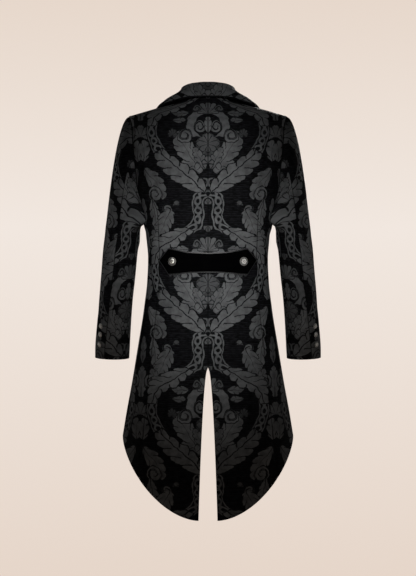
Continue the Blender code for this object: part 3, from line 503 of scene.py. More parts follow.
# On the torso: x runs round the form from the middle of the back in metres at the crease.
# Depth below nothing is a trough. Side is +1 for the right half, -1 for the left, 0 for both.
TORSO_CREASES = (
    # from the back of the armholes in towards the shoulder blades
    Crease(1, 0.172, -0.165, 72, 0.110, 0.012, -0.0022),
    Crease(1, 0.152, -0.190, 66, 0.120, 0.015, 0.0016),
    Crease(-1, 0.170, -0.172, 76, 0.120, 0.013, -0.0024),
    Crease(-1, 0.150, -0.186, 70, 0.110, 0.016, 0.0017),
    # slanting folds of the side bodies just above the waist
    Crease(1, 0.168, -0.330, 28, 0.100, 0.012, -0.0019),
    Crease(1, 0.176, -0.362, 20, 0.090, 0.011, 0.0014),
    Crease(-1, 0.166, -0.322, 24, 0.105, 0.013, -0.0018),
    Crease(-1, 0.178, -0.366, 16, 0.085, 0.011, 0.0015),
    Crease(1, 0.262, -0.348, 12, 0.100, 0.012, -0.0016),
    Crease(-1, 0.258, -0.340, 16, 0.110, 0.013, -0.0017),
    # short pulls above and below the half belt
    Crease(1, 0.062, -0.372, 18, 0.080, 0.012, -0.0012),
    Crease(-1, 0.070, -0.378, 14, 0.085, 0.012, -0.0012),
    Crease(1, 0.094, -0.476, -34, 0.075, 0.012, -0.0013),
    Crease(-1, 0.088, -0.480, -30, 0.080, 0.012, -0.0014),
    # soft pleats of the tails, which fall nearly straight
    Crease(1, 0.060, -0.760, 88, 0.360, 0.024, -0.0026),
    Crease(1, 0.112, -0.800, 84, 0.340, 0.028, 0.0026),
    Crease(1, 0.168, -0.780, 82, 0.330, 0.022, -0.0024),
    Crease(-1, 0.054, -0.800, 92, 0.340, 0.025, -0.0024),
    Crease(-1, 0.106, -0.770, 86, 0.380, 0.027, 0.0027),
    Crease(-1, 0.160, -0.800, 83, 0.340, 0.023, -0.0026),
    Crease(0, 0.250, -0.720, 96, 0.260, 0.030, 0.0020),
    Crease(0, 0.310, -0.660, 104, 0.240, 0.026, -0.0020),
    # the fronts: a drag from the top button to the side, and one under the arm
    Crease(1, 0.380, -0.350, -12, 0.130, 0.012, -0.0013),
    Crease(-1, 0.384, -0.342, -14, 0.120, 0.012, -0.0014),
    Crease(1, 0.400, -0.440, 14, 0.110, 0.013, -0.0012),
    Crease(-1, 0.396, -0.446, 12, 0.120, 0.013, -0.0012),
    Crease(0, 0.345, -0.250, 58, 0.110, 0.013, -0.0014),
)
# On the sleeves: x is the turn on the section in degrees, z the height.
SLEEVE_CREASES = (
    # the inner elbow, which points to the front
    Crease(1, 96, -0.392, 8, 0.080, 0.0100, -0.0030),
    Crease(1, 104, -0.414, -10, 0.075, 0.0095, 0.0024),
    Crease(1, 90, -0.436, -16, 0.085, 0.0100, -0.0028),
    Crease(1, 118, -0.460, -24, 0.070, 0.0090, 0.0018),
    Crease(-1, 92, -0.398, 4, 0.084, 0.0100, -0.0028),
    Crease(-1, 102, -0.421, -8, 0.078, 0.0095, 0.0024),
    Crease(-1, 96, -0.444, -20, 0.080, 0.0100, -0.0030),
    Crease(-1, 120, -0.466, -20, 0.072, 0.0090, 0.0017),
    # the back of the elbow, and slanting pulls above it
    Crease(1, -74, -0.402, 22, 0.085, 0.0110, -0.0019),
    Crease(1, -60, -0.428, 34, 0.080, 0.0110, 0.0015),
    Crease(-1, -70, -0.410, 26, 0.080, 0.0110, -0.0019),
    Crease(-1, -64, -0.436, 30, 0.085, 0.0110, 0.0016),
    Crease(1, -50, -0.300, 52, 0.110, 0.0120, -0.0018),
    Crease(-1, -54, -0.290, 56, 0.115, 0.0125, -0.0018),
    Crease(1, -98, -0.246, 62, 0.090, 0.0110, -0.0017),
    Crease(-1, -94, -0.252, 58, 0.095, 0.0110, -0.0018),
    # under the arm and down the forearm
    Crease(0, 176, -0.330, 12, 0.080, 0.0120, -0.0018),
    Crease(0, 190, -0.372, -8, 0.085, 0.0110, 0.0015),
    Crease(1, 30, -0.500, 62, 0.120, 0.0130, -0.0014),
    Crease(-1, 24, -0.512, 66, 0.115, 0.0130, -0.0014),
    Crease(1, -28, -0.545, 72, 0.100, 0.0120, -0.0012),
    Crease(-1, -22, -0.535, 74, 0.105, 0.0120, -0.0012),
)


CREASE_BOW = 0.035


def crease_field(x, z, creases, side):
    """The sum of bells depth exp(-(v/width)^2) exp(-p^4): p runs along a crease, v across its bow."""
    field = np.zeros_like(x)
    for crease in creases:
        if crease.side in (0, side):
            slope = math.radians(crease.tilt)
            dx, dz = x - crease.x, z - crease.z
            along = dx * math.cos(slope) + dz * math.sin(slope)
            part = 2 * along / crease.length
            bow = CREASE_BOW * crease.length * part**2
            across = dz * math.cos(slope) - dx * math.sin(slope) - bow
            field += crease.depth * np.exp(-((across / crease.width) ** 2)) * np.exp(-(part**4))
    return field


def torso_crease(angle, height, side):
    """How far the creases move a point of the torso form, out or in."""
    points = torso(angle, height)
    radius = np.linalg.norm(points[..., :2], axis=-1)
    return crease_field(radius * angle, height, TORSO_CREASES, side)


def sleeve_crease(turn, points, side):
    """The same on a sleeve, with the turn unrolled to metres on a tube of the arm's radius."""
    unrolled = (np.degrees(turn) + 130) % 360 - 130
    field = np.zeros(turn.shape)
    for crease in SLEEVE_CREASES:
        if crease.side in (0, side):
            here = crease._replace(x=0.0, z=0.0)
            x = np.radians((unrolled - crease.x + 180) % 360 - 180) * ARM_RADIUS
            field += crease_field(x, points[..., 2] - crease.z, (here,), side)
    return field


print("creases:", len(TORSO_CREASES), "on the torso and", len(SLEEVE_CREASES), "on the sleeves")

# %% [markdown]
# ## Cloth shells
# A panel could be a single sheet with a thickness modifier. Here it is a closed wall: an
# outer face, a lining face 2 mm behind it, and a rim between them that gives every hem and
# edge a real thickness. Just before a seam the outer face dips, as pressed cloth does.

# %% Walls between two grids, and the dip at their edges
def grid_wall(outer, inner):
    """Vertices and faces of a closed wall between two grids of points, facing outwards."""
    rows, columns = outer.shape[:2]
    vertices = np.concatenate([outer.reshape(-1, 3), inner.reshape(-1, 3)])
    number = np.arange(rows * columns).reshape(rows, columns)
    a, b, c, d = number[:-1, :-1], number[:-1, 1:], number[1:, 1:], number[1:, :-1]
    front = np.stack([a, b, c, d], axis=-1).reshape(-1, 4)
    back = np.stack([a, d, c, b], axis=-1).reshape(-1, 4) + rows * columns
    rim = np.concatenate([number[0], number[1:, -1], number[-1, -2::-1], number[-2:0:-1, 0]])
    after = np.roll(rim, -1)
    sides = np.stack([after, rim, rim + rows * columns, after + rows * columns], axis=-1)
    return vertices, np.concatenate([front, back, sides]), len(front), len(back)


def edge_distance(points, edges):
    """Metres from each point to the nearest of the named edges, measured along the grid."""
    rows, columns = points.shape[:2]
    across = np.zeros((rows, columns))
    across[:, 1:] = np.cumsum(np.linalg.norm(np.diff(points, axis=1), axis=-1), axis=1)
    upward = np.zeros((rows, columns))
    upward[1:] = np.cumsum(np.linalg.norm(np.diff(points, axis=0), axis=-1), axis=0)
    ways = {
        "left": across,
        "right": across[:, -1:] - across,
        "bottom": upward,
        "top": upward[-1:] - upward,
    }
    return np.min([ways[name] for name in edges], axis=0)


def seam_dip(points, edges, depth=0.0009, reach=0.0030):
    """Depth of the dip next to a seam: depth exp(-(distance/reach)^2)."""
    return depth * np.exp(-((edge_distance(points, edges) / reach) ** 2))


def smooth_normals(grid):
    """Outward direction at each point of a grid, from the differences of its neighbours."""
    normal = np.cross(np.gradient(grid, axis=1), np.gradient(grid, axis=0))
    return normal / np.linalg.norm(normal, axis=-1, keepdims=True)


print("a wall of 3 x 3 points has", len(grid_wall(np.zeros((3, 3, 3)), np.zeros((3, 3, 3)))[1]), "faces")

# %% [markdown]
# ## Turning grids into pieces
# Every piece is made the same way: outer grid, inner grid, a flat pattern in metres as its UV
# map, and two numbers for each point, its distances to the piece's free edge and to its seams.
# The weave and the woven figures follow the UV map, so they bend with the cloth and stay in
# scale. The left pieces are the right ones mirrored, each with creases of its own.

# %% One mesh from a wall
Piece = namedtuple("Piece", "thing flat area")
pieces = {}
HANDS = ((1, "right"), (-1, "left"))
NO_SEAM = 1.0


def mirror_grid(grid):
    """The same grid with X reversed, and its columns in the other order so it still faces out."""
    return grid[:, ::-1] * np.array([-1.0, 1.0, 1.0])


def wall_piece(name, outer, inner, uv, free, seam=NO_SEAM):
    """Mesh of outer face, lining face and rim; free and seam are distances to such edges."""
    vertices, faces, count_out, count_in = grid_wall(outer, inner)
    mesh = bpy.data.meshes.new(name)
    mesh.from_pydata(vertices.tolist(), [], faces.tolist())
    kind = np.zeros(len(faces), dtype=np.int32)
    kind[count_out : count_out + count_in] = 1
    mesh.polygons.foreach_set("material_index", kind)
    corner = faces.reshape(-1)
    flat_uv = np.concatenate([uv.reshape(-1, 2), uv.reshape(-1, 2)])
    layer = mesh.uv_layers.new(name="cloth")
    layer.data.foreach_set("uv", flat_uv[corner].astype(np.float32).reshape(-1))
    for label, distance in (("free_edge", free), ("seam_edge", seam + 0 * free)):
        layer = mesh.attributes.new(label, "FLOAT", "POINT")
        layer.data.foreach_set("value", np.tile(distance.reshape(-1), 2).astype(np.float32))
    mesh.update()
    mesh.shade_smooth()
    mesh.set_sharp_from_angle(angle=math.radians(48))
    thing = bpy.data.objects.new(name, mesh)
    bpy.context.scene.collection.objects.link(thing)
    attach(thing, "root")
    a, b, c, d = outer[:-1, :-1], outer[:-1, 1:], outer[1:, 1:], outer[1:, :-1]
    area = float(np.linalg.norm(np.cross(c - a, d - b), axis=-1).sum() / 2)
    flat = tuple(float(size) for size in np.ptp(uv.reshape(-1, 2), axis=0))
    pieces[name] = Piece(thing, flat, area)


def sided_piece(name, side, outer, inner, uv, free, seam):
    """The wall as it is on the right, or mirrored with its flat pattern on the left."""
    if side < 0:
        outer, inner = mirror_grid(outer), mirror_grid(inner)
        uv = uv[:, ::-1] * np.array([-1.0, 1.0])
        free, seam = free[:, ::-1], seam[:, ::-1]
    wall_piece(name, outer, inner, uv, free, seam)


print("each piece gets its mesh, its flat pattern and its area")

# %% [markdown]
# ## Lengths over the form
# A pattern could be projected from behind, but it would smear at the sides. A tailor's cloth
# keeps its lengths: across, they are counted round the body from the middle of the back, and
# up and down along the body's own slope.

# %% Tables of lengths round and up the form
JOINT_LEVEL = -0.2470
angle_steps = np.linspace(0, math.pi * 1.06, 220)
height_steps = np.linspace(TORSO[0].height, TORSO[-1].height, 470)
form_points = torso(angle_steps[:, None], height_steps[None, :])
round_length = np.zeros(form_points.shape[:2])
round_length[1:] = np.cumsum(np.linalg.norm(np.diff(form_points, axis=0), axis=-1), axis=0)
up_length = np.zeros(form_points.shape[:2])
up_length[:, 1:] = np.cumsum(np.linalg.norm(np.diff(form_points, axis=1), axis=-1), axis=1)
joint_column = int(np.argmin(np.abs(height_steps - JOINT_LEVEL)))
up_length -= up_length[:, joint_column : joint_column + 1]
SHOULDER_LEVEL = -0.0600


def looked_up(table, angle, height):
    """Bilinear look-up of a table over angle_steps and height_steps."""
    a = np.interp(np.abs(angle), angle_steps, np.arange(len(angle_steps)))
    h = np.interp(height, height_steps, np.arange(len(height_steps)))
    i = np.clip(a.astype(int), 0, len(angle_steps) - 2)
    j = np.clip(h.astype(int), 0, len(height_steps) - 2)
    p, q = a - i, h - j
    low = table[i, j] * (1 - p) + table[i + 1, j] * p
    high = table[i, j + 1] * (1 - p) + table[i + 1, j + 1] * p
    return low * (1 - q) + high * q


def cloth_uv(angle, height):
    """(round, up) in metres: lengths at shoulder level are kept for all points above it."""
    level = np.minimum(height, SHOULDER_LEVEL)
    above = angle_at(torso(angle, height)[..., 0], level, front=bool(np.mean(angle) > math.pi / 2))
    turn = np.where(height > SHOULDER_LEVEL, above, angle)
    return np.stack([looked_up(round_length, turn, level), looked_up(up_length, angle, height)], axis=-1)


print("round the form at the joint level: %.0f mm" % (2000 * looked_up(round_length, math.pi, JOINT_LEVEL)))

# %% [markdown]
# ## Backs, sides and fronts
# The solids give each panel's outline. The scene's panel starts from the same plan, moves its
# points by the creases and the seam dips, and gets its lining face behind. The left half is
# made from the right plan with its own creases, then reversed.

# %% The six body panels
LAP_CLEAR, LAP_FADE, LAP_TOP, LAP_STEP = 0.028, 0.110, -0.1900, 0.0028


def lap_lift(angle, height):
    """How far the left front is moved out, to lie over the right front and its lapel's foot."""
    across = torso(angle, height)[..., 0]
    over = np.clip((LAP_FADE - across) / (LAP_FADE - LAP - LAP_CLEAR), 0, 1)
    below_cross = np.clip((LAP_TOP + LAP_CLEAR - height) / LAP_CLEAR, 0, 1)
    above_break = np.clip((height - BREAK_POINT + LAP_CLEAR) / LAP_CLEAR, 0, 1)
    return LAP_STEP * over * below_cross * (1 + above_break)


def calm(points, edges, reach=0.012):
    """0 at the seams and 1 a little inside them, so that creases never open a seam."""
    return np.clip(edge_distance(points, edges) / reach, 0, 1) ** 2


def body_panel(name, plan, side, seams, free, lift=0.0):
    """Panel points + normal (lift + crease calm - dip); the lining is CLOTH behind them."""
    angle, height = plan[..., 0], plan[..., 1]
    points, normal = torso(angle, height), torso_normal(angle, height)
    crease = torso_crease(angle, height, side) * calm(points, seams)
    inner = points + normal * (lift + crease - CLOTH)[..., None]
    outer = inner + normal * (CLOTH - seam_dip(points, seams))[..., None]
    uv = cloth_uv(angle, height)
    sided_piece(name, side, outer, inner, uv, edge_distance(points, free), edge_distance(points, seams))


for side, hand in HANDS:
    for panel in ("back", "side"):
        body_panel(f"{panel}_cloth_{hand}", plans[panel], side, ("left", "right"), ("bottom",))
    over = 0.0 if side > 0 else lap_lift(plans["front"][..., 0], plans["front"][..., 1])
    body_panel(f"front_cloth_{hand}", plans["front"], side, ("left",), ("bottom", "right"), over)
print({name: [round(size, 3) for size in piece.flat] for name, piece in pieces.items()})

# %% [markdown]
# ## Sleeves
# A tailored sleeve has two pieces, a top and a narrower under sleeve, sewn at the back and
# front of the arm. They lie on the sleeve form with the same points that the armhole has, so
# the sleeve head meets the body all round.

# %% Top and under sleeves
SLEEVE_PATTERN = 0.172
TURNING_IN, TURNING_LONG = 0.0014, 0.0060
REST_GAP, REST_FOOT, REST_RISE = 0.0008, -0.343, 0.030
REST_START, REST_SPREAD = 0.25, 0.45


def smooth_step(part):
    """0 below 0, 1 above 1, and part^2 (3 - 2 part) between."""
    part = np.clip(part, 0, 1)
    return part**2 * (3 - 2 * part)


def rest_on_side(points, turn):
    """Under the armpit the sleeve lies on the side body: its points move in to REST_GAP from it."""
    y, height = points[..., 1], points[..., 2]
    width = through(TORSO, "half_width", height)
    square = through(TORSO, "squareness", height)
    deep = np.where(y < 0, through(TORSO, "back", height), through(TORSO, "front", height))
    body = width * (1 - np.clip(np.abs(y / deep), 0, 0.999) ** square) ** (1 / square)
    away = np.clip(points[..., 0] - body - REST_GAP, 0, None)
    inner_side = smooth_step((-np.cos(turn) - REST_START) / REST_SPREAD)
    weight = smooth_step((height - REST_FOOT) / REST_RISE) * inner_side
    return points - (away * weight)[..., None] * np.array([1.0, 0.0, 0.0])


def sleeve_piece(name, turns, first_shift, last_shift, side):
    """Sleeve points - inward (crease calm - dip), the turn unrolled to metres for the UV map.

    One more row at the head turns in under the body's edge, as the seam's allowance does.
    """
    share = np.linspace(0, 1, SLEEVE_ROWS * FINER + 1)[:, None]
    turn = sleeve_turns(finer(turns), share, first_shift, last_shift)
    points = sleeve(turn, share)
    inward = sleeve_inward(turn, share, points)
    head = share < 1e-9
    points = points + np.where(head[..., None], inward * LAY_GAP + np.array([LAY_GAP, 0, 0]), 0.0)
    points = rest_on_side(points, turn)
    points, inward, turn = points[::-1], inward[::-1], turn[::-1]
    seams = ("left", "right", "top")
    crease = sleeve_crease(turn, points, side) * calm(points, seams)
    inner = points + inward * (CLOTH - crease)[..., None]
    outer = points + inward * (seam_dip(points, seams) - crease)[..., None]
    rise = np.linalg.norm(np.diff(points, axis=0), axis=-1)
    up = np.concatenate([np.zeros((1, rise.shape[1])), np.cumsum(rise, axis=0)])
    up += points[0, :, 2] - points[0, :, 2].max()
    across = turn * ARM_RADIUS + SLEEVE_PATTERN
    uv = np.stack([across, up], axis=-1)
    distance, seam = edge_distance(points, ("bottom",)), edge_distance(points, seams)
    turning = inward[-1:] * TURNING_IN - np.array([TURNING_LONG, 0.0, 0.0])
    outer = np.concatenate([outer, outer[-1:] + turning])
    inner = np.concatenate([inner, inner[-1:] + turning])
    uv = np.concatenate([uv, uv[-1:] + np.array([0.0, TURNING_LONG])])
    distance, seam = (np.concatenate([part, part[-1:]]) for part in (distance, seam))
    sided_piece(name, side, outer, inner, uv, distance, seam)


for side, hand in HANDS:
    sleeve_piece(f"sleeve_top_cloth_{hand}", over_turns, HINDARM_SHIFT, FOREARM_SHIFT, side)
    sleeve_piece(f"sleeve_under_cloth_{hand}", under_turns, FOREARM_SHIFT, HINDARM_SHIFT, side)
print({name: [round(size, 3) for size in piece.flat] for name, piece in pieces.items() if "sleeve" in name})

# %% [markdown]
# ## Collar and lapels
# The collar stands up from the neck seam, rolls over and falls as a leaf. Its section is a
# half turn at the roll between a straight stand and a curved leaf. Sweeping one section
# would not do, because leaf and stand change all the way round, so a table gives the section
# at nine places and smooth curves join them.

# %% The collar's table and surface
CollarSection = namedtuple("CollarSection", "along facing stand lean reach edge")
COLLAR = (
    CollarSection(0.00, 0, 0.0283, -0.0010, 0.0110, 0.0011),
    CollarSection(0.15, 22, 0.0300, -0.0010, 0.0120, 0.0011),
    CollarSection(0.30, 46, 0.0335, -0.0030, 0.0175, -0.0012),
    CollarSection(0.45, 69, 0.0355, -0.0080, 0.0330, -0.0090),
    CollarSection(0.60, 90, 0.0335, -0.0110, 0.0530, -0.0178),
    CollarSection(0.67, 95, 0.0325, -0.0100, 0.0575, -0.0205),
    CollarSection(0.75, 98, 0.0290, -0.0080, 0.0580, -0.0275),
    CollarSection(0.88, 90, 0.0170, -0.0030, 0.0615, -0.0430),
    CollarSection(1.00, 86, 0.0085, 0.0000, 0.0600, -0.0605),
)
COLLAR_SIDE, COLLAR_FRONT, GORGE, ROLL_RADIUS = 0.60, 0.72, -0.0550, 0.0035
TUCK_IN, TUCK_OVER, COLLAR_PATTERN = 0.80, 0.10, 0.075
LEAF_OUT, LEAF_DOWN, LAID_OUT, LAID_DOWN, LEAF_END = 0.45, 0.90, 0.95, 0.05, 1.05
SWELL, SWELL_FROM, SWELL_TO, SWELL_LOW = 0.0068, 0.20, 0.95, 1.7
TONGUE_DOWN, TONGUE_LEAST, COLLAR_COLUMNS = 0.0045, 0.0004, 192


def neck_seam(along):
    """Points of the neck seam: over the back, past the shoulder seam and down the roll line."""
    along = np.asarray(along, float)
    back = math.pi / 2 * np.clip(along / COLLAR_SIDE, 0, 1)
    front_top = ROLL_LINE[-1].height
    part = np.clip((along - COLLAR_SIDE) / (COLLAR_FRONT - COLLAR_SIDE), 0, 1)
    angle = back + part * (float(roll_angle(front_top)) - math.pi / 2)
    height = neck_height(back) + part * (front_top - SHOULDER_ROWS[-1])
    down = np.clip((along - COLLAR_FRONT) / (1 - COLLAR_FRONT), 0, 1)
    roll = front_top + (GORGE - front_top) * down
    angle = np.where(down > 0, roll_angle(roll), angle)
    height = np.where(down > 0, roll, height)
    return torso(angle, height), torso_normal(angle, height)


def collar_surface(along, leaf_rows=20, roll_rows=12, stand_rows=8):
    """Rows from the leaf's edge up a Hermite curve to the roll, round it, and down the stand.

    A tongue of three more rows goes down inside the neck seam.
    """
    side, along = np.sign(along), np.abs(along)
    facing = np.radians(through(COLLAR, "facing", along))
    seam, normal = neck_seam(along)
    out = np.stack([np.sin(facing), -np.cos(facing), 0 * facing], axis=-1)
    tuck = np.clip((along - COLLAR_SIDE) / TUCK_OVER + TUCK_IN, 0, 1)
    seam = seam + np.array([0, 0, 2 * LAY_GAP]) - out * ((CLOTH + LAY_GAP) * tuck)[:, None]
    onto = np.clip((along - COLLAR_FRONT) / (1 - COLLAR_FRONT), 0, 1)[:, None]
    up = np.array([0, 0, 1.0]) * (1 - onto) + normal * onto
    up /= np.linalg.norm(up, axis=-1, keepdims=True)
    stand = through(COLLAR, "stand", along)[:, None]
    lean = through(COLLAR, "lean", along)[:, None]
    reach = through(COLLAR, "reach", along)[:, None]
    drop = (through(COLLAR, "edge", along) - seam[:, 2])[:, None] * np.array([0, 0, 1.0])
    turned = seam + out * (lean + 2 * ROLL_RADIUS) + up * (stand - ROLL_RADIUS)
    leaf_edge = seam + out * reach + drop
    straight = leaf_edge - turned
    length = np.linalg.norm(straight, axis=-1, keepdims=True)
    outward = LEAF_OUT + (LAID_OUT - LEAF_OUT) * onto
    downward = LEAF_DOWN + (LAID_DOWN - LEAF_DOWN) * onto
    begin = (out * outward - up * downward) * length
    shoulder = np.clip((along - SWELL_FROM) / (SWELL_TO - SWELL_FROM), 0, 1)
    swell = (out + up) / math.sqrt(2) * (SWELL * np.sin(math.pi * shoulder))[:, None]
    t = np.linspace(1, 0, leaf_rows + 1)[:, None, None]
    leaf = hermite(t, turned, begin, leaf_edge, straight * LEAF_END)
    leaf = leaf + swell * np.sin(math.pi * t**SWELL_LOW)
    bend = np.linspace(0, math.pi, roll_rows + 1)[1:, None, None]
    shift = ROLL_RADIUS * (1 + np.cos(bend))
    roll = seam + out * (lean + shift) + up * (stand - ROLL_RADIUS * (1 - np.sin(bend)))
    s = np.linspace(0, 1, stand_rows + 1)[1:, None, None]
    tongue = seam - out * (2 * CLOTH * (1 - onto)) - up * (TONGUE_DOWN * (1 - onto) + TONGUE_LEAST)
    t = np.linspace(0, 1, 4)[1:, None, None]
    grid = np.concatenate([leaf, roll, roll[-1:] * (1 - s) + seam * s, seam * (1 - t) + tongue * t])
    grid[..., 0] *= np.where(side < 0, -1, 1)
    return grid


def lengths(grid):
    """(across, up) in metres along a grid's rows and columns, from its middle and its first row."""
    across = np.zeros(grid.shape[:2])
    across[:, 1:] = np.cumsum(np.linalg.norm(np.diff(grid, axis=1), axis=-1), axis=1)
    across -= across[:, [grid.shape[1] // 2]]
    up = np.zeros(grid.shape[:2])
    up[1:] = np.cumsum(np.linalg.norm(np.diff(grid, axis=0), axis=-1), axis=0)
    return np.stack([across, up], axis=-1)


collar_outer = collar_surface(np.linspace(-1, 1, COLLAR_COLUMNS + 1))
collar_inner = collar_outer - smooth_normals(collar_outer) * CLOTH
collar_free = edge_distance(collar_outer, ("bottom", "left", "right"))
collar_uv = lengths(collar_outer) + np.array([0.0, COLLAR_PATTERN])
wall_piece("collar_cloth", collar_outer, collar_inner, collar_uv, collar_free)
print("collar: %.0f mm along its roll" % (1000 * pieces["collar_cloth"].flat[0]))

# %% The lapels' table and surface
LapelRow = namedtuple("LapelRow", "height tip_across tip_height roll bend")
LAPEL = (
    LapelRow(-0.3000, -0.0080, -0.2980, 0.0000, 1.0),
    LapelRow(-0.2600, 0.0500, -0.2450, 0.0000, 1.0),
    LapelRow(-0.2000, 0.1000, -0.1800, 0.0010, 1.0),
    LapelRow(-0.1400, 0.1330, -0.1280, 0.0030, 1.0),
    LapelRow(-0.0900, 0.1490, -0.0960, 0.0050, 1.6),
    LapelRow(-0.0570, 0.1500, -0.0790, 0.0060, 3.0),
)
LAPEL_ROLL = 0.5


def lapel(name, side, columns=36, rows=60):
    """Points from the roll line out to the tip line, raised by roll sin(pi u / LAPEL_ROLL)."""
    height = np.linspace(LAPEL[0].height, LAPEL[-1].height, rows + 1)[:, None]
    u = np.linspace(0, 1, columns + 1)[None, :]
    start = roll_angle(height)
    tip_height = through(LAPEL, "tip_height", height)
    tip = angle_at(through(LAPEL, "tip_across", height), tip_height, front=True)
    angle = start + (tip - start) * u
    level = height + (tip_height - height) * u ** through(LAPEL, "bend", height)
    rolled = through(LAPEL, "roll", height) * np.sin(math.pi * np.clip(u / LAPEL_ROLL, 0, 1))
    under = 0.0 if side > 0 else lap_lift(angle, level)
    lift = under + rolled + CLOTH + np.where(height > LAP_TOP, EASE, LAP_STEP - CLOTH)
    normal = torso_normal(angle, level)
    points = (torso(angle, level) + normal * lift[..., None])[:, ::-1]
    inner = points - normal[:, ::-1] * CLOTH
    uv = lengths(points)
    distance = edge_distance(points, ("left", "top", "bottom"))
    sided_piece(name, side, points, inner, uv, distance, NO_SEAM + 0 * distance)


for side, hand in HANDS:
    lapel(f"lapel_cloth_{hand}", side)
print("lapel: %.0f mm long" % (1000 * pieces["lapel_cloth_right"].flat[1]))

# %% [markdown]
# ## The half belt
# The belt crosses the hollow of the waist from one princess seam to the other. It has a flat
# satin edge and a padded velvet middle. The outline is a short table of heights, and both
# pieces take their points from the back, moved out: first the satin, then the velvet on it.

# %% Belt outline and its two pieces
BeltPoint = namedtuple("BeltPoint", "across top bottom")
BELT = (
    BeltPoint(0.0000, -0.3986, -0.4496),
    BeltPoint(0.0450, -0.3965, -0.4510),
    BeltPoint(0.0800, -0.3905, -0.4540),
    BeltPoint(0.1010, -0.3868, -0.4550),
    BeltPoint(0.1240, -0.4175, -0.4180),
)
BELT_RIM, BELT_EASE, BELT_POINT = 0.0030, 0.0012, 0.0012
TIP_INSET, CORNER_INSET, TIP_COLUMNS = 1.25, 0.60, 14
BELT_ROUND, SATIN_CROWN, VELVET_CROWN = 0.0020, 0.0006, 0.0014
BELT_BUTTON_ACROSS, BELT_BUTTON_HEIGHT = 0.0885, -0.4212


def belt_grid(inset, columns=150, rows=28):
    """(across, height) between the top and bottom curves, both kept inside by inset."""
    end = BELT[-1].across - inset * TIP_INSET
    corner = BELT[-2].across - inset * CORNER_INSET
    level = np.linspace(0, corner, columns // 2)[:-1]
    half = np.concatenate([level, np.linspace(corner, end, TIP_COLUMNS)])
    across = np.concatenate([-half[:0:-1], half])
    top = through(BELT, "top", np.minimum(np.abs(across), corner)) - inset
    bottom = through(BELT, "bottom", np.minimum(np.abs(across), corner)) + inset
    middle = (BELT[-1].top + BELT[-1].bottom) / 2
    taper = np.clip((np.abs(across) - corner) / (end - corner), 0, 1)
    top = top + (middle + BELT_POINT / 2 - top) * taper
    bottom = bottom + (middle - BELT_POINT / 2 - bottom) * taper
    v = np.linspace(0, 1, rows + 1)[:, None]
    return np.broadcast_to(across, (rows + 1, len(across))), bottom + (top - bottom) * v


def belt_piece(name, inset, foot, thick, crown):
    """Points on the back moved out by foot + thick, less crown exp(-d / BELT_ROUND) at the edge."""
    across, height = belt_grid(inset)
    angle = angle_at(across, height)
    points, normal = torso(angle, height), torso_normal(angle, height)
    distance = edge_distance(points, ("left", "right", "top", "bottom"))
    lift = foot + thick - crown * np.exp(-distance / BELT_ROUND)
    outer = points + normal * lift[..., None]
    uv = np.stack([looked_up(round_length, angle, height) * np.sign(across), height], axis=-1)
    wall_piece(name, outer, points + normal * foot, uv, distance)


belt_foot = BELT_EASE + LAY_GAP + CLOTH
belt_piece("belt_satin", 0.0, BELT_EASE, CLOTH, SATIN_CROWN)
belt_piece("belt_velvet", BELT_RIM, belt_foot, VELVET, VELVET_CROWN)
print("belt: %.0f mm long" % (1000 * pieces["belt_satin"].flat[0]))

# %% [markdown]
# ## Silver buttons
# Each button is a turned and chased dome on a shank: a plain rim, a ring of beads, a rosette
# of petals and a small boss. It could be built from many small parts. One polar surface does
# it: the height over the face is a function of radius and angle, so relief costs no objects.

# %% The button's relief and its body
BUTTON_BACK = ((0.22, 0.00), (0.22, 0.16), (0.60, 0.165), (0.90, 0.18), (0.98, 0.21), (1.00, 0.26))
PETALS, BEADS = 8, 26


def button_dome(radius):
    """The plain dome under the relief: 0.26 + 0.24 (1 - r^2)."""
    return 0.26 + 0.24 * (1 - radius**2)


def button_relief(radius, around, petals, beads):
    """Relief on the dome for radius 0 to 1, in button radii.

    Petals |cos(n a / 2)| between 0.20 and 0.66, each with a vein, a groove at 0.70, beads near
    0.81, a rim at 0.95 and a round boss inside 0.17.
    """
    petal = np.abs(np.cos(around * petals / 2)) ** 0.6
    inside = np.clip((radius - 0.20) / 0.10, 0, 1) * np.clip((0.66 - radius) / 0.08, 0, 1)
    vein = np.exp(-(((np.mod(around * petals / (2 * np.pi) + 0.5, 1) - 0.5) / 0.06) ** 2))
    relief = 0.085 * petal * inside - 0.030 * vein * inside
    relief = relief - 0.045 * np.exp(-(((radius - 0.70) / 0.025) ** 2))
    bead = np.abs(np.cos(around * beads / 2))
    relief = relief + 0.060 * bead * np.exp(-(((radius - 0.81) / 0.050) ** 2))
    relief = relief + 0.030 * np.exp(-(((radius - 0.95) / 0.030) ** 2))
    return relief + 0.085 * np.sqrt(np.clip(1 - (radius / 0.17) ** 2, 0, 1))


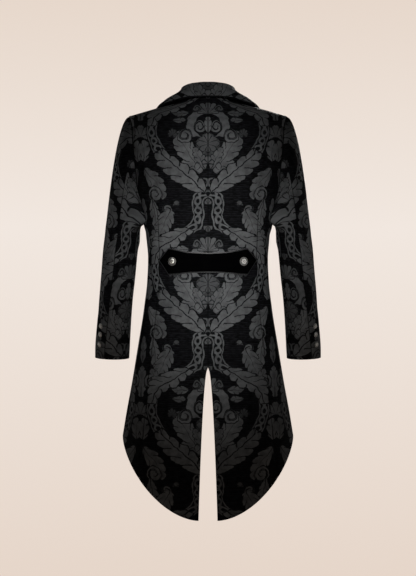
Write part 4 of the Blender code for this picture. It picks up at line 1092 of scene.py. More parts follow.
def button(name, centre, outward, size, petals=PETALS, beads=BEADS, segments=104, face_rows=34):
    """A closed polar surface: the shank and back as rings, then the relief in to the middle."""
    outward = outward / np.linalg.norm(outward)
    first = np.cross(outward, [0.0, 0.0, 1.0])
    first /= np.linalg.norm(first)
    second = np.cross(outward, first)
    around = np.linspace(0, 2 * math.pi, segments, endpoint=False)
    circle = np.cos(around)[:, None] * first - np.sin(around)[:, None] * second
    back_radius = np.array([ring[0] for ring in BUTTON_BACK])[:, None] + 0 * around
    back_height = np.array([ring[1] for ring in BUTTON_BACK])[:, None] + 0 * around
    face_radius = np.linspace(0.985, 0.03, face_rows)[:, None] + 0 * around
    face_height = button_dome(face_radius) + button_relief(face_radius, around[None, :], petals, beads)
    radius = np.concatenate([back_radius, face_radius])
    height = np.concatenate([back_height, face_height])
    rings = centre + outward * size * height[..., None] + circle[None] * size * radius[..., None]
    rows = len(rings)
    boss = float(button_relief(0.0, 0.0, petals, beads))
    top = button_dome(0.0) + boss
    vertices = np.concatenate([rings.reshape(-1, 3), [centre + outward * size * top, centre]])
    number = np.arange(rows * segments).reshape(rows, segments)
    after = np.roll(number, -1, axis=1)
    sides = np.stack([after[:-1], number[:-1], number[1:], after[1:]], axis=-1).reshape(-1, 4)
    last, foot = rows * segments, rows * segments + 1
    cap = np.stack([after[-1], number[-1], np.full(segments, last)], axis=-1)
    base = np.stack([number[0], after[0], np.full(segments, foot)], axis=-1)
    mesh = bpy.data.meshes.new(name)
    mesh.from_pydata(vertices.tolist(), [], [*sides.tolist(), *cap.tolist(), *base.tolist()])
    relief = mesh.attributes.new("relief", "FLOAT", "POINT")
    over = np.concatenate([(height - button_dome(radius)).reshape(-1), [boss, 0.0]])
    relief.data.foreach_set("value", over.astype(np.float32))
    mesh.update()
    mesh.shade_smooth()
    thing = bpy.data.objects.new(name, mesh)
    bpy.context.scene.collection.objects.link(thing)
    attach(thing, "root")
    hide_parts(name.replace("silver_", ""))
    return thing


print("a button has %d petals and %d beads, on the cuffs 6 and 20" % (PETALS, BEADS))

# %% Where the buttons sit
BELT_BUTTON, FRONT_BUTTON, CUFF_BUTTON = 0.0112, 0.0105, 0.0073
FRONT_BUTTON_HEIGHTS = (-0.3330, -0.4050, -0.4770)
CUFF_BUTTON_HEIGHTS = (-0.5832, -0.6045, -0.6305)
CUFF_BUTTON_TURN = -45
silver_buttons = []


def on_torso(angle, height, lift):
    """A point of the torso form moved out, and the outward direction there."""
    out = torso_normal(angle, height)
    return torso(angle, height) + out * lift, out


for side, hand in HANDS:
    angle = angle_at(side * BELT_BUTTON_ACROSS, BELT_BUTTON_HEIGHT)
    point, out = on_torso(angle, BELT_BUTTON_HEIGHT, belt_foot + VELVET + LAY_GAP)
    silver_buttons.append(button(f"silver_belt_button_{hand}", point, out, BELT_BUTTON))
for count, height in enumerate(FRONT_BUTTON_HEIGHTS, 1):
    point, out = on_torso(math.pi, height, LAP_STEP + LAY_GAP)
    silver_buttons.append(button(f"silver_front_button_{count}", point, out, FRONT_BUTTON))
for count, height in enumerate(CUFF_BUTTON_HEIGHTS, 1):
    share = CAP_SHARE + (1 - CAP_SHARE) * (ARM_TOP - height) / (ARM_TOP - ARM[0].height)
    turn = math.radians(CUFF_BUTTON_TURN)
    point = sleeve(turn, share)
    out = -sleeve_inward(turn, share, point)
    for side, hand in HANDS:
        flip = np.array([side, 1.0, 1.0])
        name = f"silver_cuff_button_{hand}_{count}"
        spot = (point + out * LAY_GAP) * flip
        silver_buttons.append(button(name, spot, out * flip, CUFF_BUTTON, 6, 20, 84))
print("buttons:", len(silver_buttons))

# %% [markdown]
# ## What each piece stands for
# The frame holds the solids. Each finished piece takes the place of its solid and, as it is
# cloth, gives the size of its flat cut.

# %% Replaced solids and flat cuts
STANDS_FOR = {"belt_satin": ("belt_edge", "satin"), "belt_velvet": ("belt", "velvet")}
for name, piece in pieces.items():
    node, finish_slot = STANDS_FOR.get(name, (name.replace("_cloth", ""), "damask"))
    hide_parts(node)
    share = min(1.0, piece.area / (piece.flat[0] * piece.flat[1]))
    share * piece.flat[0] * piece.flat[1]
    print("%-24s %4.0f x %4.0f mm, %4.0f cm2" % (name, *(1000 * s for s in piece.flat), 1e4 * piece.area))

# %% [markdown]
# ## Drawing the woven figures
# The cloth is a damask: shiny figures of scrolls, acanthus leaves and linked rings on a matt
# ribbed ground, all mirrored about the middle of the back. A photograph of cloth could be
# wrapped round the coat, but it would stretch and it would be somebody's picture. Here each
# figure is drawn with distances instead: a number that is below nothing inside the figure and
# above nothing outside. A small class lets the shader's Math nodes be written as sums.

# %% Sums that become Math nodes
class Wire:
    """One socket of a shader tree; arithmetic on it adds Math nodes to that tree."""

    def __init__(self, tree, socket):
        self.tree = tree
        self.socket = socket

    def node(self, operation, *others, clamp=False):
        """The wire out of a Math node with this wire and then the others as its inputs."""
        added = self.tree.nodes.new("ShaderNodeMath")
        added.operation = operation
        added.use_clamp = clamp
        for place, value in enumerate((self,) + others):
            if isinstance(value, Wire):
                self.tree.links.new(value.socket, added.inputs[place])
            else:
                added.inputs[place].default_value = float(value)
        return Wire(self.tree, added.outputs[0])

    def __add__(self, other):
        return self.node("ADD", other)

    def __sub__(self, other):
        return self.node("SUBTRACT", other)

    def __mul__(self, other):
        return self.node("MULTIPLY", other)

    def __truediv__(self, other):
        return self.node("DIVIDE", other)

    def __abs__(self):
        return self.node("ABSOLUTE")

    def less_from(self, number):
        """number - self."""
        return self.node("MULTIPLY_ADD", -1.0, number)

    def times_plus(self, factor, number):
        """self factor + number."""
        return self.node("MULTIPLY_ADD", factor, number)

    def ramp(self, factor=1.0, number=0.0):
        """self factor + number, held between 0 and 1."""
        return self.node("MULTIPLY_ADD", factor, number, clamp=True)

    def within(self, soft):
        """1 inside a distance, 0 outside, with an edge of that softness in centimetres."""
        return self.ramp(-1.0 / soft, 0.5)


def effect(name, inputs, *outputs):
    """A new node group: inputs by label with their values, None for a vector; outputs by label."""
    group = bpy.data.node_groups.new(name, "ShaderNodeTree")
    for label, value in inputs.items():
        kind = "NodeSocketVector" if value is None else "NodeSocketFloat"
        socket = group.interface.new_socket(label, in_out="INPUT", socket_type=kind)
        if value is not None:
            socket.default_value = value
    for label in outputs:
        group.interface.new_socket(label, in_out="OUTPUT", socket_type="NodeSocketFloat")
    entry = group.nodes.new("NodeGroupInput")
    end = group.nodes.new("NodeGroupOutput")
    wires = {label: Wire(group, entry.outputs[label]) for label in inputs}
    return group, wires, end


def placed(tree, group, **values):
    """That node group placed in a tree; each input takes a wire or a number, spaces as _."""
    node = tree.nodes.new("ShaderNodeGroup")
    node.node_tree = group
    for label, value in values.items():
        socket = node.inputs[label.replace("_", " ")]
        if isinstance(value, Wire):
            tree.links.new(value.socket, socket)
        else:
            socket.default_value = value
    return node


def out_of(node, label):
    """The wire out of a node's socket."""
    return Wire(node.id_data, node.outputs[label])


def parts_of(vector):
    """The X, Y and Z wires of a vector wire."""
    split = vector.tree.nodes.new("ShaderNodeSeparateXYZ")
    vector.tree.links.new(vector.socket, split.inputs[0])
    return tuple(out_of(split, label) for label in "XYZ")


def noise_at(vector, scale, detail):
    """A noise texture node read at a vector wire."""
    noise = vector.tree.nodes.new("ShaderNodeTexNoise")
    noise.inputs["Scale"].default_value = scale
    noise.inputs["Detail"].default_value = detail
    vector.tree.links.new(vector.socket, noise.inputs["Vector"])
    return noise


print("math written as sums is ready")

# %% [markdown]
# ## The drawing tools
# Old damasks repeat a few shapes: a curl, a toothed leaf, a fan of petals, a ring, and leaf or
# chain work that follows a curved band. Each is one node group with named inputs, and each
# puts out its distance in centimetres.

# %% Curl, leaf, fan and ring
REPEAT, HALF_WIDTH = 35.9, 18.4
POINT = {"X": 0.0, "Y": 0.0, "At X": 0.0, "At Y": 0.0}
CURL_TURNS, CURL_ARM, CURL_EYE = 1.6, 0.29, 0.30


def from_point(wires):
    """Offsets from the figure's own point; the upward one wraps at the repeat."""
    dx = wires["X"] - wires["At X"]
    dy = (wires["Y"] - wires["At Y"]).node("WRAP", REPEAT / 2, -REPEAT / 2)
    return dx, dy


def radius_of(dx, dy):
    """sqrt(dx^2 + dy^2)."""
    return (dx * dx + dy * dy).node("SQRT")


def curl_tool():
    """A spiral r = pitch (turns + n), CURL_TURNS inside its radius, with an eye in the middle."""
    group, w, end = effect("curl", {**POINT, "Radius": 1.5, "Hand": 1.0, "Start": 0.0}, "Distance")
    dx, dy = from_point(w)
    radius = radius_of(dx, dy)
    turns = dy.node("ARCTAN2", dx) * w["Hand"] * (1 / (2 * math.pi)) + w["Start"]
    pitch = w["Radius"] / CURL_TURNS
    phase = (radius / pitch - turns).node("FLOORED_MODULO", 1.0)
    arm = (abs(phase - 0.5) - CURL_ARM) * pitch
    arm = arm.node("MAXIMUM", radius - w["Radius"])
    eye = radius - w["Radius"] * CURL_EYE
    group.links.new(arm.node("MINIMUM", eye).socket, end.inputs["Distance"])
    return group


def leaf_tool():
    """|t| - breadth 2 sqrt(g (1-g)) (0.62 + 0.40 tooth), g along the leaf, t across its midrib.

    The midrib bends by Bend g^2 and stays open as a fine line; clefts part the teeth.
    """
    sizes = {"Turned": 0.0, "Length": 6.0, "Breadth": 1.5, "Bend": 0.0, "Teeth": 5.0}
    group, w, end = effect("leaf", {**POINT, **sizes}, "Distance")
    dx, dy = from_point(w)
    turned = w["Turned"].node("RADIANS")
    c, s = turned.node("COSINE"), turned.node("SINE")
    along = (dx * c + dy * s) / w["Length"]
    across = dy * c - dx * s - along * along * w["Bend"]
    side = abs(across)
    part = along.ramp()
    belly = (part * part.less_from(1.0)).node("SQRT") * 2.0
    slant = along * w["Teeth"] - side * 0.55
    tooth = (slant.node("FLOORED_MODULO", 1.0) * math.pi).node("SINE")
    edge = w["Breadth"] * belly * tooth.node("SQRT").times_plus(0.40, 0.62)
    distance = side - edge
    rib = side.less_from(0.10) - along * 0.12
    within_teeth = (w["Breadth"] * 0.38 - side).node("MAXIMUM", 0.0)
    cleft = tooth.less_from(0.20) * 0.5 - within_teeth * 4.0
    distance = distance.node("MAXIMUM", rib).node("MAXIMUM", cleft)
    outside = abs(along - part) * w["Length"] - 0.2
    group.links.new(distance.node("MAXIMUM", outside).socket, end.inputs["Distance"])
    return group


def fan_tool():
    """Petals round a point, within a spread: r - R (0.62 + 0.38 lobe) (1 - 0.35 f^2).

    f is the angle as a share of the spread, and thin clefts part the petals.
    """
    sizes = {"Turned": 90.0, "Radius": 2.0, "Spread": 90.0, "Petals": 7.0}
    group, w, end = effect("fan", {**POINT, **sizes}, "Distance")
    dx, dy = from_point(w)
    radius = radius_of(dx, dy)
    turned = w["Turned"].node("RADIANS")
    angle = (dy.node("ARCTAN2", dx) - turned).node("WRAP", math.pi, -math.pi)
    petal = abs((angle * w["Petals"] * 0.5).node("COSINE"))
    spread = w["Spread"].node("RADIANS")
    fade = (abs(angle) / spread).node("MINIMUM", 1.0)
    shorter = (fade * fade).times_plus(-0.35, 1.0)
    edge = w["Radius"] * petal.node("SQRT").times_plus(0.38, 0.62) * shorter
    cleft = petal.less_from(0.22) * radius * 0.5
    distance = (radius - edge).node("MAXIMUM", cleft)
    beyond = (abs(angle) - spread) * radius
    group.links.new(distance.node("MAXIMUM", beyond).socket, end.inputs["Distance"])
    return group


def ring_tool():
    """| r - radius | - breadth, kept only above a level, for arches."""
    sizes = {"Radius": 1.0, "Breadth": 0.2, "Above": -9.0}
    group, w, end = effect("ring", {**POINT, **sizes}, "Distance")
    dx, dy = from_point(w)
    band = abs(radius_of(dx, dy) - w["Radius"]) - w["Breadth"]
    group.links.new(band.node("MAXIMUM", w["Above"] - dy).socket, end.inputs["Distance"])
    return group


TOOLS = {"curl": curl_tool(), "leaf": leaf_tool(), "fan": fan_tool(), "ring": ring_tool()}
print("drawing tools:", list(TOOLS))

# %% [markdown]
# ## The great curved band
# The design hangs on an ogee: two branches rise from a joint, bow out as chains of rings,
# come back as leaves and meet again as chains. The ogee is a table of heights and widths. Four
# Float Curve nodes carry it into the shader: its place, the cosine and the sine of its slope,
# and its length so far.

# %% The ogee and what grows on it
OgeePoint = namedtuple("OgeePoint", "up across")
OGEE = (
    OgeePoint(0.0, 0.7),
    OgeePoint(3.0, 3.8),
    OgeePoint(6.0, 7.4),
    OgeePoint(9.0, 11.0),
    OgeePoint(12.0, 13.5),
    OgeePoint(15.0, 14.7),
    OgeePoint(18.2, 14.9),
    OgeePoint(21.0, 13.2),
    OgeePoint(23.0, 10.6),
    OgeePoint(25.0, 7.2),
    OgeePoint(26.5, 4.8),
    OgeePoint(28.0, 3.1),
    OgeePoint(30.0, 2.35),
    OgeePoint(33.0, 2.7),
    OgeePoint(35.0, 1.8),
    OgeePoint(REPEAT, 0.7),
)
OGEE_TOP = 20.0
up_steps = np.linspace(0, REPEAT, 721)
ogee_across = through(OGEE, "across", up_steps)
ogee_slope = np.gradient(ogee_across, up_steps)
ogee_cosine = 1 / np.sqrt(1 + ogee_slope**2)
ogee_sine = ogee_slope * ogee_cosine
ogee_length = np.concatenate([[0], np.cumsum(np.hypot(np.diff(up_steps), np.diff(ogee_across)))])
ogee_total = float(ogee_length[-1])


def ogee_at(up):
    """The ogee's length from its joint to a height."""
    return float(np.interp(up, up_steps, ogee_length))


def curve_node(tree, level, values, top, points=45):
    """A Float Curve node through values / top at even steps; level runs from 0 to 1."""
    node = tree.nodes.new("ShaderNodeFloatCurve")
    curve = node.mapping.curves[0]
    shares = np.linspace(0, 1, points)
    heights = np.interp(shares, np.linspace(0, 1, len(values)), values) / top
    curve.points[0].location = (0.0, float(heights[0]))
    curve.points[1].location = (1.0, float(heights[-1]))
    for share, height in zip(shares[1:-1], heights[1:-1]):
        curve.points.new(float(share), float(height))
    node.mapping.update()
    tree.links.new(level.socket, node.inputs["Value"])
    return Wire(tree, node.outputs["Value"]) * top


BAND = {"Along": 0.0, "Across": 0.0, "From": 0.0, "To": 1.0}


def band_leaf_tool():
    """Leaf work along a band: |t| - breadth (0.45 + 0.55 sin(pi a)) (0.60 + 0.42 lobe).

    The lobes lean forward, and those on the outer side of the bow are broader.
    """
    sizes = {"Breadth": 2.4, "Lean": 0.9, "Lobe": 2.1}
    group, w, end = effect("leaf_band", {**BAND, **sizes}, "Distance")
    part = ((w["Along"] - w["From"]) / (w["To"] - w["From"])).ramp()
    side = abs(w["Across"])
    outer = w["Across"].ramp(4.0, 0.5).times_plus(0.34, 0.74)
    swell = (part * math.pi).node("SINE").times_plus(0.55, 0.45) * outer * w["Breadth"]
    phase = ((w["Along"] - side * w["Lean"]) / w["Lobe"]).node("FLOORED_MODULO", 1.0)
    lobe = (phase * math.pi).node("SINE").node("SQRT")
    edge = swell * lobe.times_plus(0.42, 0.60)
    rib = side.less_from(0.14)
    cleft = lobe.less_from(0.42) * 0.6 - (swell * 0.30 - side).node("MAXIMUM", 0.0) * 4.0
    distance = (side - edge).node("MAXIMUM", rib).node("MAXIMUM", cleft)
    beyond = (w["From"] - w["Along"]).node("MAXIMUM", w["Along"] - w["To"])
    group.links.new(distance.node("MAXIMUM", beyond).socket, end.inputs["Distance"])
    return group


def band_chain_tool():
    """Rails | |t| - 1.25 | - 0.16 with rings | r - 0.72 | - 0.24 and knots r - 0.34 between."""
    group, w, end = effect("chain_band", BAND, "Distance")
    rails = abs(abs(w["Across"]) - 1.25) - 0.16
    step = w["Along"].node("WRAP", 1.2, -1.2)
    ring = abs(radius_of(w["Across"], step * 0.86) - 0.72) - 0.24
    knot = radius_of(w["Across"], (w["Along"] + 1.2).node("WRAP", 1.2, -1.2)) - 0.34
    distance = rails.node("MINIMUM", ring).node("MINIMUM", knot)
    beyond = (w["From"] - w["Along"]).node("MAXIMUM", w["Along"] - w["To"])
    group.links.new(distance.node("MAXIMUM", beyond).socket, end.inputs["Distance"])
    return group


print("the ogee is %.1f cm long in a repeat of %.1f cm" % (ogee_total, REPEAT))

# %% [markdown]
# ## The whole repeat
# A table lists the single figures: which tool, where it sits in centimetres, and its sizes.
# They are laid one on the other like cut paper. Each new figure first clears a thin dark line
# round itself, which is how the weaver keeps neighbouring shapes apart.

# %% The figures of one repeat
Figure = namedtuple("Figure", "tool x y tone sizes")
FIGURES = (
    # inside the ogee: rosette, arch and leaf wings
    Figure("ring", 0.0, 12.3, 0.45, dict(Radius=1.4, Breadth=1.45, Above=-9.0)),
    Figure("fan", 0.0, 12.3, 0.62, dict(Turned=90.0, Radius=2.9, Spread=180.0, Petals=8.0)),
    Figure("leaf", 2.0, 6.0, 1.0, dict(Turned=50.0, Length=11.4, Breadth=2.45, Bend=1.6, Teeth=5.0)),
    Figure("leaf", 0.8, 6.0, 0.9, dict(Turned=72.0, Length=6.0, Breadth=1.30, Bend=-1.0, Teeth=4.0)),
    Figure("fan", 0.0, 7.2, 0.85, dict(Turned=90.0, Radius=2.1, Spread=75.0, Petals=5.0)),
    Figure("ring", 0.0, 17.4, 1.0, dict(Radius=4.40, Breadth=1.00, Above=-2.9)),
    Figure("fan", 0.0, 20.9, 0.90, dict(Turned=90.0, Radius=2.2, Spread=85.0, Petals=7.0)),
    Figure("curl", 2.05, 17.0, 0.85, dict(Radius=1.45, Hand=-1.0, Start=0.40)),
    Figure("leaf", 0.0, 15.2, 0.90, dict(Turned=90.0, Length=4.6, Breadth=0.85, Bend=0.0, Teeth=3.0)),
    Figure("curl", 5.9, 14.7, 1.0, dict(Radius=1.75, Hand=1.0, Start=0.15)),
    Figure("leaf", 4.8, 21.4, 0.9, dict(Turned=-8.0, Length=4.4, Breadth=1.05, Bend=0.8, Teeth=3.0)),
    Figure("leaf", 9.0, 18.9, 0.75, dict(Turned=170.0, Length=3.2, Breadth=0.80, Bend=0.5, Teeth=2.0)),
    # at the joint: heart of two curls and little palmettes
    Figure("curl", 1.10, 2.4, 0.9, dict(Radius=1.35, Hand=-1.0, Start=0.20)),
    Figure("fan", 2.9, 5.6, 0.95, dict(Turned=100.0, Radius=1.9, Spread=120.0, Petals=5.0)),
    Figure("fan", 0.0, -2.9, 0.70, dict(Turned=90.0, Radius=1.9, Spread=80.0, Petals=5.0)),
    # between the chains below the joint: a sunrise palmette
    Figure("fan", 0.0, -15.2, 0.80, dict(Turned=90.0, Radius=4.0, Spread=84.0, Petals=13.0)),
    Figure("curl", 2.9, -13.3, 0.60, dict(Radius=1.05, Hand=1.0, Start=0.55)),
    Figure("fan", 0.0, -8.4, 0.60, dict(Turned=-90.0, Radius=1.7, Spread=80.0, Petals=5.0)),
    # outside the ogee: scroll, leaf and buds
    Figure("leaf", 17.2, 6.4, 1.0, dict(Turned=-137.0, Length=9.6, Breadth=2.10, Bend=1.4, Teeth=4.0)),
    Figure("curl", 14.0, -0.4, 1.0, dict(Radius=1.95, Hand=-1.0, Start=0.10)),
    Figure("leaf", 15.0, -1.6, 0.95, dict(Turned=-98.0, Length=11.0, Breadth=1.60, Bend=-1.6, Teeth=6.0)),
    Figure("curl", 10.6, -4.1, 0.95, dict(Radius=1.25, Hand=1.0, Start=0.30)),
    Figure("leaf", 9.8, -4.2, 1.0, dict(Turned=-72.0, Length=8.2, Breadth=2.35, Bend=1.7, Teeth=5.0)),
    Figure("leaf", 17.5, 8.4, 1.0, dict(Turned=106.0, Length=5.2, Breadth=1.55, Bend=-0.9, Teeth=2.0)),
    Figure("fan", 8.2, -3.3, 0.55, dict(Turned=90.0, Radius=1.2, Spread=85.0, Petals=3.0)),
    Figure("fan", 9.3, 15.0, 0.42, dict(Turned=90.0, Radius=1.4, Spread=150.0, Petals=9.0)),
    Figure("fan", 18.4, 14.6, 0.95, dict(Turned=90.0, Radius=3.3, Spread=110.0, Petals=7.0)),
    Figure("leaf", 18.4, 19.0, 0.95, dict(Turned=90.0, Length=8.0, Breadth=1.70, Bend=0.0, Teeth=4.0)),
    Figure("curl", 15.6, 23.0, 0.90, dict(Radius=1.90, Hand=1.0, Start=0.60)),
    Figure("leaf", 18.4, -8.4, 0.85, dict(Turned=90.0, Length=7.0, Breadth=1.15, Bend=0.0, Teeth=3.0)),
    Figure("leaf", 12.9, -14.6, 0.85, dict(Turned=58.0, Length=5.6, Breadth=1.50, Bend=0.7, Teeth=3.0)),
)


Wander = namedtuple("Wander", "scale detail reach")
WANDERS = (Wander(0.30, 1.0, 1.3), Wander(1.15, 1.5, 0.50))
EDGE_SOFT, FIGURE_GAP, BAND_GAP = 0.14, 0.20, 0.30


def lay_tool():
    """figure (1 - inside(d - outline)) or tone inside(d), whichever is more."""
    inputs = {"Below": 0.0, "Distance": 1.0, "Tone": 1.0, "Outline": FIGURE_GAP}
    group, w, end = effect("lay", inputs, "Figure")
    cleared = w["Below"] * (w["Distance"] - w["Outline"]).within(EDGE_SOFT).less_from(1.0)
    inside = w["Distance"].within(EDGE_SOFT) * w["Tone"]
    group.links.new(cleared.node("MAXIMUM", inside).socket, end.inputs["Figure"])
    return group


def damask_group():
    """UV in metres to Figure: X folds about the middle and about HALF_WIDTH, Y repeats.

    Two noises move the point a little first, so that no figure comes out stiff.
    """
    group, w, end = effect("damask", {"Cloth": None}, "Figure")
    flat_x, flat_y, _ = parts_of(w["Cloth"])
    x = (flat_x * 100.0).node("PINGPONG", HALF_WIDTH)
    y = flat_y * 100.0
    joined = group.nodes.new("ShaderNodeCombineXYZ")
    group.links.new(x.socket, joined.inputs["X"])
    group.links.new(y.node("FLOORED_MODULO", REPEAT).socket, joined.inputs["Y"])
    folded = out_of(joined, "Vector")
    for wander in WANDERS:
        aside, upward, _ = parts_of(out_of(noise_at(folded, wander.scale, wander.detail), "Color"))
        near_fold = x.ramp(0.6)
        x = x + (aside - 0.5) * near_fold * wander.reach
        y = y + (upward - 0.5) * wander.reach
    y = y.node("FLOORED_MODULO", REPEAT)
    level = y / REPEAT
    place = curve_node(group, level, ogee_across, OGEE_TOP)
    across = (x - place) * curve_node(group, level, ogee_cosine, 1.0)
    sine = curve_node(group, level, ogee_sine / 2 + 0.5, 1.0).times_plus(2.0, -1.0)
    along = curve_node(group, level, ogee_length, ogee_total) + across * sine
    band = dict(Along=along, Across=across)
    chain, leafy = band_chain_tool(), band_leaf_tool()
    bands = (
        placed(group, chain, **band, From=ogee_at(9.6), To=ogee_at(19.0)),
        placed(group, chain, **band, From=ogee_at(25.6), To=ogee_total - 0.4),
        placed(group, leafy, **band, From=0.0, To=ogee_at(10.8), Breadth=3.0, Lean=0.8, Lobe=3.1),
        placed(group, leafy, **band, From=ogee_at(17.6), To=ogee_at(26.6), Breadth=2.7, Lean=-0.8, Lobe=2.6),
    )
    layers = []
    for item in FIGURES:
        tool = placed(group, TOOLS[item.tool], X=x, Y=y, At_X=item.x, At_Y=item.y, **item.sizes)
        layers.append((tool, item.tone, FIGURE_GAP))
    for band_work in bands:
        layers.append((band_work, 1.0, BAND_GAP))
    lay = lay_tool()
    figure = 0.0
    for node, tone, gap in layers:
        laid = placed(group, lay, Below=figure, Distance=out_of(node, "Distance"), Tone=tone, Outline=gap)
        figure = out_of(laid, "Figure")
    worn = out_of(noise_at(folded, 0.55, 3.0), "Fac").ramp(5.0, -1.9).times_plus(0.30, 0.70)
    group.links.new((figure * worn).socket, end.inputs["Figure"])
    return group


damask = damask_group()
print("figures:", len(FIGURES), "and 4 lengths of band;", len(damask.nodes), "nodes in the repeat")

# %% [markdown]
# ## Weave, grain and other shared effects
# Close up, damask is two faces of one satin weave. The figures float their threads and shine;
# the ground binds them and stays matt, with fine ribs across. A velvet's pile leans in soft
# patches. These effects are small groups, used by several of the finishes.

# %% Ribs, threads, cloudiness and pile
def ribs_group():
    """Ground ribs across the cloth: height 0.5 + 0.5 sin(2 pi v / spacing + 9 n), n a stretched noise.

    The tone is the height, darker where n is low, so that the ribs come out uneven.
    """
    group, w, end = effect("ribs", {"Cloth": None, "Spacing": 0.0046}, "Height", "Tone")
    upward = parts_of(w["Cloth"])[1]
    stretch = group.nodes.new("ShaderNodeMapping")
    stretch.inputs["Scale"].default_value = (70.0, 150.0, 1.0)
    group.links.new(w["Cloth"].socket, stretch.inputs["Vector"])
    uneven = out_of(noise_at(out_of(stretch, "Vector"), 1.0, 2.0), "Fac")
    wave = (upward / w["Spacing"] * (2 * math.pi) + uneven * 9.0).node("SINE")
    height = wave.times_plus(0.5, 0.5)
    tone = height * uneven.ramp(3.4, -1.15)
    group.links.new(height.socket, end.inputs["Height"])
    group.links.new(tone.socket, end.inputs["Tone"])
    return group


def threads_group():
    """Height of crossed threads: |sin| of both directions, with a fine noise on top."""
    group, w, end = effect("threads", {"Cloth": None, "Per Metre": 2200.0}, "Height")
    flat_x, flat_y, _ = parts_of(w["Cloth"])
    one = abs((flat_x * w["Per Metre"] * math.pi).node("SINE"))
    two = abs((flat_y * w["Per Metre"] * math.pi).node("SINE"))
    fluff = out_of(noise_at(w["Cloth"], 2600.0, 2.0), "Fac")
    total = one * 0.4 + two * 0.4 + fluff * 0.5
    group.links.new(total.socket, end.inputs["Height"])
    return group


def clouds_group():
    """Soft patches Low + share (High - Low), from Object coordinates in metres."""
    inputs = {"Place": None, "Scale": 9.0, "Low": 0.0, "High": 1.0}
    group, w, end = effect("clouds", inputs, "Amount")
    noise = noise_at(w["Place"], 9.0, 4.0)
    noise.inputs["Roughness"].default_value = 0.55
    group.links.new(w["Scale"].socket, noise.inputs["Scale"])
    share = out_of(noise, "Fac").ramp(2.2, -0.6)
    amount = w["Low"] + share * (w["High"] - w["Low"])
    group.links.new(amount.socket, end.inputs["Amount"])
    return group


def mixed(tree, share, first, second):
    """A colour between two colours; each may be a wire or three numbers."""
    node = tree.nodes.new("ShaderNodeMix")
    node.data_type = "RGBA"
    tree.links.new(share.socket, node.inputs["Factor"])
    for label, value in (("A", first), ("B", second)):
        socket = next(s for s in node.inputs if s.name == label and s.type == "RGBA")
        if isinstance(value, Wire):
            tree.links.new(value.socket, socket)
        else:
            socket.default_value = (*value, 1.0)
    return Wire(tree, next(s for s in node.outputs if s.type == "RGBA"))


def finish_start(name):
    """A new material, its tree and its Principled shader."""
    material = bpy.data.materials.new(name)
    material.use_nodes = True
    return material, material.node_tree, material.node_tree.nodes["Principled BSDF"]


def cloth_of(tree):
    """The flat pattern's UV in metres."""
    cloth = tree.nodes.new("ShaderNodeUVMap")
    cloth.uv_map = "cloth"
    return out_of(cloth, "UV")


def attribute(tree, name):
    """A number held by each point of the mesh."""
    node = tree.nodes.new("ShaderNodeAttribute")
    node.attribute_name = name
    return out_of(node, "Fac")


def patches_of(tree, scale, low=0.0, high=1.0):
    """The soft patches, that many to the metre, in Object coordinates."""
    place = out_of(tree.nodes.new("ShaderNodeTexCoord"), "Object")
    return out_of(placed(tree, clouds, Place=place, Scale=scale, Low=low, High=high), "Amount")


THREAD_DEPTH, SCRATCH_DEPTH = 0.0004, 0.00008


def bumped(tree, shader, height, strength, distance=THREAD_DEPTH):
    """Leads a height wire to the shader's normal, with a depth in metres."""
    bump = tree.nodes.new("ShaderNodeBump")
    bump.inputs["Strength"].default_value = strength
    bump.inputs["Distance"].default_value = distance
    tree.links.new(height.socket, bump.inputs["Height"])
    tree.links.new(bump.outputs["Normal"], shader.inputs["Normal"])


ribs, threads, clouds = ribs_group(), threads_group(), clouds_group()
print("shared effects:", ribs.name, threads.name, clouds.name)

# %% [markdown]
# ## The finishes
# The coat wears damask, with a plain edge on the collar and lapels, a plain lining, velvet,
# satin, and tarnished silver, which is rubbed paler on the cuffs. The damask's figures are a
# lighter, smoother grey on a nearly black matt ground, and a painted shade darkens the colour
# along the seams, where their grooves would lie in shadow.

# %% Damask
FIGURE_GREY, FIGURE_LIGHT = (0.058, 0.061, 0.064), (0.090, 0.094, 0.097)
GROUND_BLACK, GROUND_RIB = (0.0010, 0.0011, 0.0014), (0.0092, 0.0096, 0.0112)


def damask_finish(name, edge_width=0.0):
    """Figure and ground by the woven mask; a dark plain border of edge_width at the free edge; painted shade
    along the seams.
    """
    material, tree, shader = finish_start(name)
    cloth = cloth_of(tree)
    figure = out_of(placed(tree, damask, Cloth=cloth), "Figure")
    rib = placed(tree, ribs, Cloth=cloth)
    if edge_width:
        figure = figure * (attribute(tree, "free_edge") - edge_width).ramp(1400.0, 0.5)
    ground = mixed(tree, out_of(rib, "Tone"), GROUND_BLACK, GROUND_RIB)
    light = mixed(tree, patches_of(tree, 14.0), FIGURE_GREY, FIGURE_LIGHT)
    # painted shade: within about 2 mm of a seam the colour fades to near black, standing in for the shadow
    # in the seam's groove
    painted_seam_shade = attribute(tree, "seam_edge").ramp(420.0, 0.05)
    colour = mixed(tree, painted_seam_shade, GROUND_BLACK, mixed(tree, figure, ground, light))
    tree.links.new(colour.socket, shader.inputs["Base Color"])
    tree.links.new(figure.times_plus(-0.36, 0.82).socket, shader.inputs["Roughness"])
    weave = out_of(placed(tree, threads, Cloth=cloth, Per_Metre=1500.0), "Height")
    bumped(tree, shader, out_of(rib, "Height") * 0.5 + weave * 0.3, 0.35)
    shader.inputs["Specular IOR Level"].default_value = 0.04
    return material


PLAIN_EDGE = 0.0036
damask_cloth = damask_finish("damask_cloth")
damask_edged = damask_finish("damask_edged", PLAIN_EDGE)
print("woven finishes:", damask_cloth.name, damask_edged.name)


